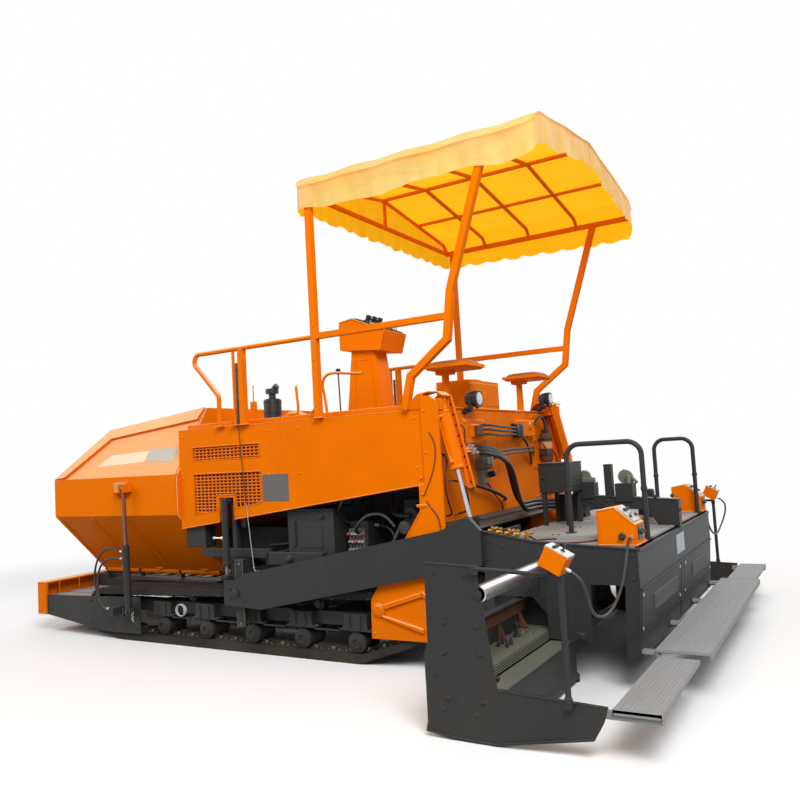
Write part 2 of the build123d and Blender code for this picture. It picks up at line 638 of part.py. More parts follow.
def screed_steps():
    """The step plate on top of the screed, and the low walkway on brackets behind it."""
    deck = box((-1400, -452), (-1218, 1218), (861, 873))
    deck += box((-1130, -500), (-1000, 1000), (873, 905))
    step = box(WALK_MAIN, (-SCREED_HALF, SCREED_HALF), (262, 280))
    for y in (-1200, -400, 400, 1200):
        step += box((-1505, -1398), (y - 25, y + 25), (240, 262))
    return solids(deck, step)


def screed_rails():
    """The hoop handrails on the deck: the left one is wider than the right one."""
    wide, narrow = [tube_run([(front, y, 905), (front, y, 1500), (-1395, y, 1500), (-1395, y, 873)], 17, 90)
                    for front, y in ((-895, 850), (-1080, -930))]
    return solids(wide, narrow)


def screed_boxes():
    """The two switch boxes at the deck's rear corners, with slanted tops."""
    line = [(-1415, 873), (-1180, 873), (-1180, 1085), (-1290, 1105), (-1415, 1000)]
    return both(side_plate(line, (1010, 1215)))


def crown_gear():
    """The heater cabinet, the crown beam over the deck's middle with what it carries, the manifold."""
    cabinet = box((-745, -519), (70, 400), (1150, 1367))
    legs = [box((x, x + 30), (y, y + 30), (905, 1150)) for x in (-735, -560) for y in (80, 360)]
    line = [(-520, 905), (-520, 1118), (-1440, 1060), (-1440, 845), (-1427, 845), (-1427, 874),
            (-1290, 874), (-1215, 985), (-760, 1018), (-655, 905)]
    beam = side_plate(line, (-45, 45))
    blocks = [box((-830, -660), (-58, 58), (1080, 1198)), box((-962, -905), (-30, 30), (1060, 1335)),
              box((-1121, -989), (-58, 58), (1050, 1186))]
    ends = [fan(LIFT_TAIL[1][-1:], k)[0] for k in range(3)]
    face = ends[-1].X
    manifold = box((face - 90, face), (-380, -235), (905, 1085))
    fittings = [rod((face, end.Y, end.Z), end, 19) for end in ends[:-1]]
    return solids(fuse(cabinet, *legs), fuse(beam, *blocks), fuse(manifold, *fittings))


# ---------------------------------------------------------------- hoses and cables
def hoses():
    """Those that the tractor holds: to the screed, along the rear wall, and at the valve block."""
    width, points = LIFT_HOSE
    routes = [fan(points, k) for k in range(3)]
    to_screed = [hose("lift hose", width, [*route, split(route[-1:])]) for route in routes]
    lines = [hose("wall line", *each) for each in WALL_LINES]
    return solids(*to_screed, hose("valve hose", *VALVE_HOSE), both(solids(*lines)))


def screed_cables():
    """The bundle's ends on the screed, and the cable of each remote box."""
    width, points = LIFT_TAIL
    routes = [fan(points, k) for k in range(3)]
    tails = [hose("lift tail", width, [split(route), *route]) for route in routes]
    return solids(*tails, both(hose("remote cable", *REMOTE_CABLE)))


# ---------------------------------------------------------------- extensions
def end_plate():
    """The tall end plate with its low foot to the rear."""
    line = [(-545, 917), (-540, 492), (-516, 440), (-516, 80), (-504, 30), (-640, 10), (-905, 2),
            (-1140, 46), (-1415, 95), (-1465, 180), (-1490, 258), (-925, 285), (-842, 902)]
    plate = side_plate(line, (END_Y, END_Y + 15))
    for x in (END_BOLTS[0] - END_BOLTS[2] / 2, END_BOLTS[0] + END_BOLTS[2] / 2):
        for z in (END_BOLTS[1] - END_BOLTS[3] / 2, END_BOLTS[1] + END_BOLTS[3] / 2):
            plate -= cross_rod(x, z, END_BOLT_R, (END_Y - 1, END_Y + 16))
    return plate


def extension_mould():
    """Front wall with its angle, the tamper block, the strip behind it, the sole and the inner end."""
    low, high = EXT_X
    block_x, block_z = EXT_BLOCK
    strip_x, strip_z = EXT_STRIP
    line = [(high, EXT_TOP), (high, 40), (high - 40, 0), (low + 25, 0), (low, 22), (low, 48),
            (strip_x, 60), (strip_x, strip_z), (strip_x + 12, strip_z), (strip_x + 12, 255),
            (block_x, 255), (block_x, block_z), (high - 12, block_z), (high - 12, EXT_TOP - 14),
            (high - 50, EXT_TOP - 14), (high - 50, EXT_TOP)]
    hollow = [(high - 12, block_z - 14), (high - 12, 46), (high - 45, 14), (strip_x + 20, 14),
              (strip_x + 20, 241), (block_x - 14, 241), (block_x - 14, block_z - 14)]
    shell = side_plate(line, (EXT_IN + 20, END_Y)) - side_plate(hollow, (EXT_IN + 40, END_Y + 1))
    head = side_plate([(high, 0), (high, EXT_TOP), (high - 50, EXT_TOP), (block_x, block_z),
                       (strip_x, strip_z), (strip_x, 60), (low, 48), (low, 0)],
                      (EXT_IN, EXT_IN + 20))
    return shell + head


def extension_tubes(side):
    """The chrome guide tube and the bright spreader rod below it."""
    x = GUIDE_X[side]
    return cross_rod(x, GUIDE_Z, GUIDE_R, (800, END_Y)) - cross_rod(x, GUIDE_Z, GUIDE_R - 8, (790, END_Y))


def extension_step():
    """The extension's walkway, which slides under the main one."""
    step = box(WALK_EXT, (1300, END_Y + 15), (238, 252))
    step += box((-1736, -1440), (END_Y - 30, END_Y), (200, 238))
    return step


def extension_stand():
    """The post with the remote box beside the end plate, and its brace."""
    post = rod((-1308, 2297, 262), (-1308, 2297, 900), 15)
    foot = box((-1328, -1288), (END_Y + 15, 2315), (235, 262))
    panel = Pos(-1292, 2297, 945) * Rot(0, -28, 0) * Box(120, 110, 100)
    brace = rod((-835, 2294, 890), (-1298, 2297, 868), 11)
    lug = box((-865, -820), (END_Y + 15, 2303), (860, 905))
    return fuse(post, foot, panel, brace, lug)


# ---------------------------------------------------------------- all nodes
def left_right(name, make):
    """A left-hand piece and its mirror image, as two nodes."""
    piece = make()
    return {f"{name}_left": piece, f"{name}_right": mirror(piece, about=Plane.XZ)}


def pieces():
    """Every node of the machine by name."""
    nodes = {
        "main_frame": main_frame(),
        "front_chassis": front_chassis(),
        "front_bumper": front_bumper(),
        "conveyor": conveyor(),
        "front_flap": front_flap(),
        "rear_side_plates": rear_side_plate(),
        "side_panels": side_panels(),
        "vent_screens": vent_screens(),
        "engine_block": engine_block(),
        "tanks": tanks(),
        "platform": platform(),
        "rear_wall": rear_wall(),
        "hopper_bulkhead": hopper_bulkhead(),
        "auger_drive": auger_drive(),
        "operator_station": solids(console(), seats()),
        "track_wheels": track_wheels(),
        "track_frames": track_frame(),
        "leveling_rams": leveling_ram(),
        "air_cleaner": air_cleaner(),
        "handrails": handrails(),
        "canopy_frame": canopy_frame(),
        "canopy_cover": canopy_cover(),
        "work_lamps": work_lamps(),
        "tow_arms": tow_arm(),
        "screed_frame": screed_frame(),
        "screed_plates": screed_plates(),
        "screed_steps": screed_steps(),
        "screed_rails": screed_rails(),
        "screed_boxes": screed_boxes(),
        "crown_gear": crown_gear(),
        "hoses": hoses(),
        "screed_cables": screed_cables(),
    }
    wing_barrel, wing_rod = wing_ram()
    lift_barrel, lift_rod = lift_ram()
    singles = {
        "track": track,
        "push_roller": push_roller,
        "auger": auger,
        "hopper_wing": wing,
        "wing_hoses": wing_hoses,
        "wing_barrel": lambda: wing_barrel,
        "wing_rod": lambda: wing_rod,
        "lift_barrel": lambda: lift_barrel,
        "lift_rod": lambda: lift_rod,
        "end_plate": end_plate,
        "extension_mould": extension_mould,
        "extension_step": extension_step,
        "extension_stand": extension_stand,
    }
    for name, make in singles.items():
        nodes.update(left_right(name, make))
    nodes["extension_tube_left"] = extension_tubes("left")
    nodes["extension_tube_right"] = mirror(extension_tubes("right"), about=Plane.XZ)
    return nodes


for name, piece in pieces().items():
    export_step(Pos(-MID_X, 0, 0) * piece, f"parts/{name}.step")
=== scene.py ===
# %% [markdown]
# # A tracked asphalt paver, dressed around its frame
# The machine's frames, plates, rams and rollers come packed, at their real size, and they never
# move here. Each cell adds what gives them their look: paint, cloth, hoses, bolts, treads and
# vents. Shapes are worked out as whole numpy arrays, because a shape that is a formula stays easy
# to change, and it is much faster than placing points one by one.

# %% Load the frame and keep its box
import math

import bmesh
import bpy
import numpy as np
from mathutils import Matrix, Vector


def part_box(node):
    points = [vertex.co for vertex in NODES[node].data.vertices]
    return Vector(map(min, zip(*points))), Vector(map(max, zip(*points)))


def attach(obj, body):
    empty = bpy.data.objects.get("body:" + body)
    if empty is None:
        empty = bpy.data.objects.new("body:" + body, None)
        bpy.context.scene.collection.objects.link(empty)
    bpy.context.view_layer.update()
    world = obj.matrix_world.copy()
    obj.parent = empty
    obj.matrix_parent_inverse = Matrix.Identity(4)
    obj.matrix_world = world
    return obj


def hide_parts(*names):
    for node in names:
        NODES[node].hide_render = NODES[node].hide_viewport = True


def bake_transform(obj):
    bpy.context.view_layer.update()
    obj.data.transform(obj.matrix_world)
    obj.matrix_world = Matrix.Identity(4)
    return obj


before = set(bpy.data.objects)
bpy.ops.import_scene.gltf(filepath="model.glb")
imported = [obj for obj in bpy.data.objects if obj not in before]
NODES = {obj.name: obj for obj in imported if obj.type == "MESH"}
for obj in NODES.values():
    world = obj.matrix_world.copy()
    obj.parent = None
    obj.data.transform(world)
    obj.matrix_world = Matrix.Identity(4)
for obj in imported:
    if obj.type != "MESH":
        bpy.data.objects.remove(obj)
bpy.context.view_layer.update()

# %% [markdown]
# ## The camera
# A camera is a place, a direction, a lens and a tilt of the horizon. Its matrix has three
# columns: what is right, what is up and what is behind it. They are worked out from a yaw, a
# pitch and a roll, which is easier to reason about than a table of numbers.

# %% Camera
CAMERA_PLACE = (-3.956, 5.946, 1.497)
YAW, PITCH, ROLL = (math.radians(angle) for angle in (-59.537, 4.043, -3.252))
LENS_MM, SENSOR_MM = 34.81, 36.0


def camera_axes(yaw, pitch, roll):
    """Right, up and back of a camera: forward from yaw and pitch, both sides turned by roll."""
    forward = np.array([math.cos(yaw) * math.cos(pitch), math.sin(yaw) * math.cos(pitch),
                        math.sin(pitch)])
    right = np.cross(forward, (0, 0, 1))
    right /= np.linalg.norm(right)
    up = np.cross(right, forward)
    cos, sin = math.cos(roll), math.sin(roll)
    return np.column_stack([cos * right + sin * up, cos * up - sin * right, -forward])


lens = bpy.data.cameras.new("camera")
lens.lens, lens.sensor_width = LENS_MM, SENSOR_MM
lens.clip_end = 200
camera = bpy.data.objects.new("camera", lens)
bpy.context.scene.collection.objects.link(camera)
placement = np.eye(4)
placement[:3, :3] = camera_axes(YAW, PITCH, ROLL)
placement[:3, 3] = CAMERA_PLACE
camera.matrix_world = Matrix(placement.tolist())
bpy.context.scene.camera = camera
print("camera at", CAMERA_PLACE, "lens", LENS_MM)

# %% [markdown]
# ## Floor and light
# A pale floor shows where the tracks stand, because it keeps their shadow. Far out it turns into
# the white of the background, so that no horizon shows. To light that bounces it is a darker
# grey, because real ground under a machine leaves its belly dark. The light is a wide soft panel
# above and to the left, a weaker one on the right, and an even sky.

# %% Floor and light
SKY_STRENGTH = 0.42
FLOOR_WHITE, FLOOR_BOUNCE = 0.98, 0.34
FADE_FROM, FADE_TO = 5.5, 9.5
LAMPS = [  # name, place, size, watts
    ("key_light", (-6.5, 7.5, 8.5), 5.0, 1000),
    ("front_light", (7.5, 6.0, 6.0), 5.0, 330),
    ("back_light", (-3.0, -8.0, 7.0), 5.0, 300),
]


def wire(tree, out_node, out_socket, in_node, in_socket):
    """One link between two nodes, by the names or numbers of their sockets."""
    tree.links.new(out_node.outputs[out_socket], in_node.inputs[in_socket])


def white_rays(tree):
    """A node that is 1 for what the camera, gloss and glass see, and 0 for light that bounces."""
    path = tree.nodes.new("ShaderNodeLightPath")
    seen = tree.nodes.new("ShaderNodeMath")
    seen.operation = "MAXIMUM"
    wire(tree, path, "Is Camera Ray", seen, 0)
    wire(tree, path, "Is Transmission Ray", seen, 1)
    both = tree.nodes.new("ShaderNodeMath")
    both.operation = "MAXIMUM"
    wire(tree, seen, 0, both, 0)
    wire(tree, path, "Is Glossy Ray", both, 1)
    return both


def make_world():
    """An even sky of moderate strength that looks white."""
    world = bpy.data.worlds.new("sky")
    bpy.context.scene.world = world
    world.use_nodes = True
    tree = world.node_tree
    tree.nodes.clear()
    sky, white = (tree.nodes.new("ShaderNodeBackground") for _ in range(2))
    sky.inputs["Color"].default_value = (1, 1, 1, 1)
    sky.inputs["Strength"].default_value = SKY_STRENGTH
    white.inputs["Color"].default_value = (1, 1, 1, 1)
    white.inputs["Strength"].default_value = 1.0
    mix = tree.nodes.new("ShaderNodeMixShader")
    out = tree.nodes.new("ShaderNodeOutputWorld")
    wire(tree, white_rays(tree), 0, mix, 0)
    wire(tree, sky, 0, mix, 1)
    wire(tree, white, 0, mix, 2)
    wire(tree, mix, 0, out, "Surface")


def make_floor():
    """A disc of floor around the machine whose rim fades into the background's white."""
    turn = np.linspace(0, 2 * np.pi, 64, endpoint=False)
    rings = np.array([0.001, 4.0, 8.0, 12.0])
    points = np.stack([np.outer(rings, np.cos(turn)), np.outer(rings, np.sin(turn)),
                       np.zeros((len(rings), len(turn)))], axis=-1).reshape(-1, 3)
    index = np.arange(len(points)).reshape(len(rings), -1)
    after = np.roll(index, -1, axis=1)
    faces = np.stack([index[:-1], index[1:], after[1:], after[:-1]], axis=-1).reshape(-1, 4)
    mesh = bpy.data.meshes.new("floor")
    mesh.from_pydata(points.tolist(), [], faces.tolist())
    floor = bpy.data.objects.new("floor", mesh)
    bpy.context.scene.collection.objects.link(floor)
    material = bpy.data.materials.new("floor_white")
    material.use_nodes = True
    tree = material.node_tree
    tree.nodes.clear()
    matt = tree.nodes.new("ShaderNodeBsdfDiffuse")
    white, grey = ((value, value, value, 1) for value in (FLOOR_WHITE, FLOOR_BOUNCE))
    tone = tree.nodes.new("ShaderNodeMix")
    tone.data_type = "RGBA"
    tone.inputs[6].default_value, tone.inputs[7].default_value = grey, white
    glow = tree.nodes.new("ShaderNodeEmission")
    place = tree.nodes.new("ShaderNodeTexCoord")
    reach = tree.nodes.new("ShaderNodeVectorMath")
    reach.operation = "LENGTH"
    fade = tree.nodes.new("ShaderNodeMapRange")
    fade.interpolation_type = "SMOOTHSTEP"
    fade.inputs["From Min"].default_value = FADE_FROM
    fade.inputs["From Max"].default_value = FADE_TO
    seen = white_rays(tree)
    share = tree.nodes.new("ShaderNodeMath")
    share.operation = "MULTIPLY"
    mix = tree.nodes.new("ShaderNodeMixShader")
    out = tree.nodes.new("ShaderNodeOutputMaterial")
    wire(tree, place, "Object", reach, 0)
    wire(tree, reach, "Value", fade, "Value")
    wire(tree, fade, 0, share, 0)
    wire(tree, seen, 0, share, 1)
    wire(tree, seen, 0, tone, "Factor")
    wire(tree, tone, 2, matt, "Color")
    wire(tree, share, 0, mix, 0)
    wire(tree, matt, 0, mix, 1)
    wire(tree, glow, 0, mix, 2)
    wire(tree, mix, 0, out, "Surface")
    mesh.materials.append(material)


def make_lamp(name, place, size, watts):
    """A square soft lamp at a place, aimed at the middle of the machine."""
    data = bpy.data.lights.new(name, "AREA")
    data.size, data.energy = size, watts
    lamp = bpy.data.objects.new(name, data)
    bpy.context.scene.collection.objects.link(lamp)
    back = np.array(place, float) - (0, 0, 1.2)
    back /= np.linalg.norm(back)
    right = np.cross((0, 0, 1), back)
    right /= np.linalg.norm(right)
    turn = np.eye(4)
    turn[:3, :3] = np.column_stack([right, np.cross(back, right), back])
    turn[:3, 3] = place
    lamp.matrix_world = Matrix(turn.tolist())


bpy.context.scene.view_settings.view_transform = "Standard"
make_world()
make_floor()
for lamp_row in LAMPS:
    make_lamp(*lamp_row)
print(len(LAMPS), "lamps")

# %% [markdown]
# ## Node groups for the finishes
# Paint, steel, rubber and cloth share the same few effects: worn edges, dirt, fine grain and
# patterns that repeat, and painted light: a highlight of sky glare on what faces up, and light and
# shade on cloth creases. Each effect is a node group of its own, so that it is written once and
# every material only sets its numbers. All of them read Object coordinates, because those are
# in metres and don't stretch when a piece is long.

# %% Node groups
def node(tree, kind, inputs=(), **settings):
    """A shader node. inputs maps a socket to a value, or to (node, socket) for a link."""
    made = tree.nodes.new("ShaderNode" + kind)
    for name, value in settings.items():
        setattr(made, name, value)
    for socket, value in dict(inputs).items():
        if isinstance(value, tuple) and isinstance(value[0], bpy.types.Node):
            tree.links.new(value[0].outputs[value[1]], made.inputs[socket])
        else:
            made.inputs[socket].default_value = value
    return made


def math_node(tree, operation, first, second=0.5):
    """One sum of two values or links."""
    return node(tree, "Math", {0: first, 1: second}, operation=operation)


def group(name, inputs, outputs):
    """An empty node group with its sockets, and its input and output nodes."""
    tree = bpy.data.node_groups.new(name, "ShaderNodeTree")
    kinds = {"value": "NodeSocketFloat", "colour": "NodeSocketColor", "normal": "NodeSocketVector"}
    for title, kind, value in inputs:
        socket = tree.interface.new_socket(title, in_out="INPUT", socket_type=kinds[kind])
        socket.default_value = value
    for title, kind in outputs:
        tree.interface.new_socket(title, in_out="OUTPUT", socket_type=kinds[kind])
    return tree, tree.nodes.new("NodeGroupInput"), tree.nodes.new("NodeGroupOutput")


def spread(tree, link, low, high, new_low=0.0, new_high=1.0):
    """A value moved from one range to another and held inside it."""
    return node(tree, "MapRange", {"Value": link, "From Min": low, "From Max": high,
                                   "To Min": new_low, "To Max": new_high})


def make_edge_wear():
    """Mask of outer edges where paint rubs off: the rounded normal differs from the true one
    there, and a noise breaks the line up. Round is the rounded normal itself."""
    tree, given, out = group("edge_wear", [("Radius", "value", 0.004), ("Wear", "value", 0.5)],
                             [("Mask", "value"), ("Round", "normal")])
    place = node(tree, "TexCoord")
    noise = node(tree, "TexNoise", {"Vector": (place, "Object"), "Scale": 26.0, "Detail": 5.0})
    true = node(tree, "NewGeometry")
    bevel = node(tree, "Bevel", {"Radius": (given, "Radius")}, samples=3)
    same = node(tree, "VectorMath", {0: (bevel, 0), 1: (true, "Normal")}, operation="DOT_PRODUCT")
    edge = spread(tree, (same, "Value"), 0.99, 0.80)
    rough = spread(tree, (noise, "Fac"), 0.47, 0.62)
    both = math_node(tree, "MULTIPLY", (edge, 0), (rough, 0))
    mask = math_node(tree, "MULTIPLY", (both, 0), (given, "Wear"))
    wire(tree, mask, 0, out, "Mask")
    wire(tree, bevel, 0, out, "Round")


def make_weather_and_glare():
    """Colour with uneven tone, dust on what faces up and a painted highlight of pale sky glare on
    it, mud low down and faint runs below edges. Extra is what the dirt adds to the roughness."""
    tree, given, out = group(
        "weather_and_glare", [("Colour", "colour", (0.5, 0.5, 0.5, 1)),
                    ("Dirt", "colour", (0.3, 0.27, 0.23, 1)), ("Tone", "value", 0.08),
                    ("Dust", "value", 0.3), ("Low", "value", 0.5), ("Runs", "value", 0.2),
                    ("Pale", "colour", (1, 1, 1, 1)), ("Glare", "value", 0.0)],
        [("Colour", "colour"), ("Extra", "value")])
    place = node(tree, "TexCoord")
    large = node(tree, "TexNoise", {"Vector": (place, "Object"), "Scale": 2.6, "Detail": 6.0,
                                    "Roughness": 0.62})
    fine = node(tree, "TexNoise", {"Vector": (place, "Object"), "Scale": 34.0, "Detail": 4.0})
    shape = node(tree, "NewGeometry")
    normal = node(tree, "SeparateXYZ", {0: (shape, "Normal")})
    height = node(tree, "SeparateXYZ", {0: (place, "Object")})
    up = spread(tree, (normal, "Z"), 0.45, 1.0)
    cloud = spread(tree, (large, "Fac"), 0.36, 0.66)
    speck = spread(tree, (fine, "Fac"), 0.38, 0.68)
    grit = math_node(tree, "MULTIPLY", (cloud, 0), (speck, 0))
    settled = math_node(tree, "MULTIPLY", (up, 0), (grit, 0))
    dust = math_node(tree, "MULTIPLY", (settled, 0), (given, "Dust"))
    near = spread(tree, (height, "Z"), 0.62, 0.04)
    mud = math_node(tree, "MULTIPLY", (near, 0), (cloud, 0))
    low = math_node(tree, "MULTIPLY", (mud, 0), (given, "Low"))
    long = node(tree, "Mapping", {"Vector": (place, "Object"), "Scale": (17.0, 17.0, 0.8)})
    run_noise = node(tree, "TexNoise", {"Vector": (long, 0), "Scale": 1.0, "Detail": 3.0})
    run = spread(tree, (run_noise, "Fac"), 0.58, 0.76)
    steep = spread(tree, (up, 0), 0.3, 0.0)
    run_mask = math_node(tree, "MULTIPLY", (run, 0), (steep, 0))
    runs = math_node(tree, "MULTIPLY", (run_mask, 0), (given, "Runs"))
    first = math_node(tree, "MAXIMUM", (dust, 0), (low, 0))
    dirt = node(tree, "Math", {0: (first, 0), 1: (runs, 0)}, operation="MAXIMUM", use_clamp=True)
    swing = spread(tree, (large, "Fac"), 0.3, 0.7, -0.5, 0.5)
    tone = math_node(tree, "MULTIPLY", (swing, 0), (given, "Tone"))
    value = math_node(tree, "ADD", (tone, 0), 1.0)
    # Painted highlight: faces that look up are tinted towards Pale, as much as Glare says, for the
    # glare of the sky on them.
    facing_up = spread(tree, (normal, "Z"), 0.18, 0.8)
    painted_glare = math_node(tree, "MULTIPLY", (facing_up, 0), (given, "Glare"))
    pale = node(tree, "Mix", {"Factor": (painted_glare, 0), 6: (given, "Colour"), 7: (given, "Pale")},
                data_type="RGBA")
    toned = node(tree, "HueSaturation", {"Color": (pale, 2), "Value": (value, 0)})
    mixed = node(tree, "Mix", {"Factor": (dirt, 0), 6: (toned, 0), 7: (given, "Dirt")},
                 data_type="RGBA")
    wire(tree, mixed, 2, out, "Colour")
    wire(tree, dirt, 0, out, "Extra")


def make_grain():
    """Height of a fine grain over a slow ripple, for cast, painted and moulded faces."""
    tree, given, out = group("grain", [("Scale", "value", 120.0), ("Ripple", "value", 0.5)],
                             [("Height", "value")])
    place = node(tree, "TexCoord")
    fine = node(tree, "TexNoise", {"Vector": (place, "Object"), "Scale": (given, "Scale"),
                                   "Detail": 4.0})
    slow = node(tree, "TexNoise", {"Vector": (place, "Object"), "Scale": 3.1, "Detail": 1.5})
    part = math_node(tree, "MULTIPLY", (slow, 0), (given, "Ripple"))
    small = math_node(tree, "MULTIPLY", (fine, 0), 0.16)
    total = math_node(tree, "ADD", (small, 0), (part, 0))
    wire(tree, total, 0, out, "Height")


def make_bars():
    """Height of a walkway's pressed pattern: short raised bars in rows, every second row moved
    by half a step, and only on what faces up."""
    tree, given, out = group("bars", [("Pitch", "value", 0.03)], [("Height", "value")])
    place = node(tree, "TexCoord")
    size = math_node(tree, "DIVIDE", 1.0, (given, "Pitch"))
    scale = node(tree, "VectorMath", {0: (place, "Object"), "Scale": (size, 0)}, operation="SCALE")
    apart = node(tree, "SeparateXYZ", {0: (scale, 0)})
    row = math_node(tree, "FLOOR", (apart, "X"), 0)
    odd = math_node(tree, "MULTIPLY", (row, 0), 0.5)
    along = math_node(tree, "MULTIPLY", (apart, "Y"), 0.4)
    moved = math_node(tree, "ADD", (along, 0), (odd, 0))
    wave = [math_node(tree, "PINGPONG", link, 0.5) for link in ((apart, "X"), (moved, 0))]
    bar = spread(tree, (wave[0], 0), 0.16, 0.30)
    end = spread(tree, (wave[1], 0), 0.06, 0.12)
    level = node(tree, "SeparateXYZ", {0: (node(tree, "NewGeometry"), "Normal")})
    top = spread(tree, (level, "Z"), 0.8, 0.95)
    height = math_node(tree, "MULTIPLY", (bar, 0), (end, 0))
    flat = math_node(tree, "MULTIPLY", (height, 0), (top, 0))
    wire(tree, flat, 0, out, "Height")


def make_weave():
    """Height of a plain weave, threads over and under along X and Y, and soft creases. Tone
    follows the creases, for light and shade painted on them.
    """
    tree, given, out = group("weave", [("Thread", "value", 0.004), ("Crease", "value", 1.0)],
                             [("Height", "value"), ("Tone", "value")])
    place = node(tree, "TexCoord")
    turns = math_node(tree, "DIVIDE", math.pi, (given, "Thread"))
    scale = node(tree, "VectorMath", {0: (place, "Object"), "Scale": (turns, 0)}, operation="SCALE")
    apart = node(tree, "SeparateXYZ", {0: (scale, 0)})
    over = math_node(tree, "SINE", (apart, "X"), 0)
    under = math_node(tree, "SINE", (apart, "Y"), 0)
    cross = math_node(tree, "MULTIPLY", (over, 0), (under, 0))
    thread = math_node(tree, "MULTIPLY", (cross, 0), 0.05)
    bent = node(tree, "Mapping", {"Vector": (place, "Object"), "Scale": (2.2, 3.4, 5.0),
                                  "Rotation": (0.0, 0.0, 0.5)})
    crease = node(tree, "TexNoise", {"Vector": (bent, 0), "Scale": 1.0, "Detail": 5.0,
                                     "Distortion": 1.2})
    soft = math_node(tree, "MULTIPLY", (crease, 0), (given, "Crease"))
    height = math_node(tree, "ADD", (thread, 0), (soft, 0))
    # Painted light and shade: Tone is high on the crests of the creases and low in their hollows.
    tone = spread(tree, (crease, 0), 0.3, 0.7)
    wire(tree, height, 0, out, "Height")
    wire(tree, tone, 0, out, "Tone")


for make_group in (make_edge_wear, make_weather_and_glare, make_grain, make_bars, make_weave):
    make_group()
print("node groups:", sorted(tree.name for tree in bpy.data.node_groups))

# %% [markdown]
# ## The finishes
# Every finish is one Principled material, and a table gives its numbers: paint colour, what the
# paint wears down to, roughness, how much dust and mud it holds. Reading the table beside a real
# machine is the quickest way to tune it. Colours are written as they look on a screen, and
# `linear` turns them into the values that light is worked out with.

# %% Finishes
def linear(*rgb):
    """Screen values 0 to 255 as linear light, with full opacity."""
    value = np.array(rgb, float) / 255
    light = np.where(value <= 0.04045, value / 12.92, ((value + 0.055) / 1.055) ** 2.4)
    return (*light.tolist(), 1.0)


def use(tree, name, **inputs):
    """A node group placed in a material, with its inputs set by name."""
    made = tree.nodes.new("ShaderNodeGroup")
    made.node_tree = bpy.data.node_groups[name]
    for socket, value in inputs.items():
        if isinstance(value, tuple) and isinstance(value[0], bpy.types.Node):
            tree.links.new(value[0].outputs[value[1]], made.inputs[socket])
        else:
            made.inputs[socket].default_value = value
    return made


def finish(name, colour, roughness, metallic=0.0, coat=0.0, under=(120, 116, 110), wear=0.25,
           tone=0.08, dust=0.25, low=0.45, runs=0.1, dirt=(128, 112, 92), grain=120.0,
           ripple=0.25, depth=0.0012, radius=0.004, bars=0.0, pale=(255, 255, 255), glare=0.0,
           shine=0.5):
    """One finish: colour with dust, dirt and a painted highlight of sky glare on what faces up,
    worn edges that show what lies under, and a fine relief.
    """
    material = bpy.data.materials.get(name) or bpy.data.materials.new(name)
    material.use_nodes = True
    tree = material.node_tree
    tree.nodes.clear()
    out = tree.nodes.new("ShaderNodeOutputMaterial")
    weather_and_glare = use(tree, "weather_and_glare", Colour=linear(*colour), Dirt=linear(*dirt), Tone=tone, Dust=dust,
                  Low=low, Runs=runs, Pale=linear(*pale), Glare=glare)
    edge = use(tree, "edge_wear", Radius=radius, Wear=wear)
    mixed = node(tree, "Mix", {"Factor": (edge, "Mask"), 6: (weather_and_glare, "Colour"),
                               7: linear(*under)}, data_type="RGBA")
    relief = use(tree, "grain", Scale=grain, Ripple=ripple)
    height = (relief, "Height")
    if bars:
        raised = use(tree, "bars", Pitch=bars)
        height = (math_node(tree, "ADD", (raised, 0), (relief, "Height")), 0)
    bump = node(tree, "Bump", {"Height": height, "Normal": (edge, "Round"), "Distance": depth,
                               "Strength": 1.0})
    dirty = math_node(tree, "MULTIPLY", (weather_and_glare, "Extra"), 0.35)
    rough = node(tree, "Math", {0: (dirty, 0), 1: roughness}, operation="ADD", use_clamp=True)
    sheen = spread(tree, (weather_and_glare, "Extra"), 0.0, 0.5, coat, 0.0)
    skin = node(tree, "BsdfPrincipled", {
        "Base Color": (mixed, 2), "Roughness": (rough, 0), "Metallic": metallic,
        "Coat Weight": (sheen, 0), "Coat Roughness": 0.12, "Specular IOR Level": shine,
        "Normal": (bump, 0)})
    wire(tree, skin, 0, out, "Surface")
    return material


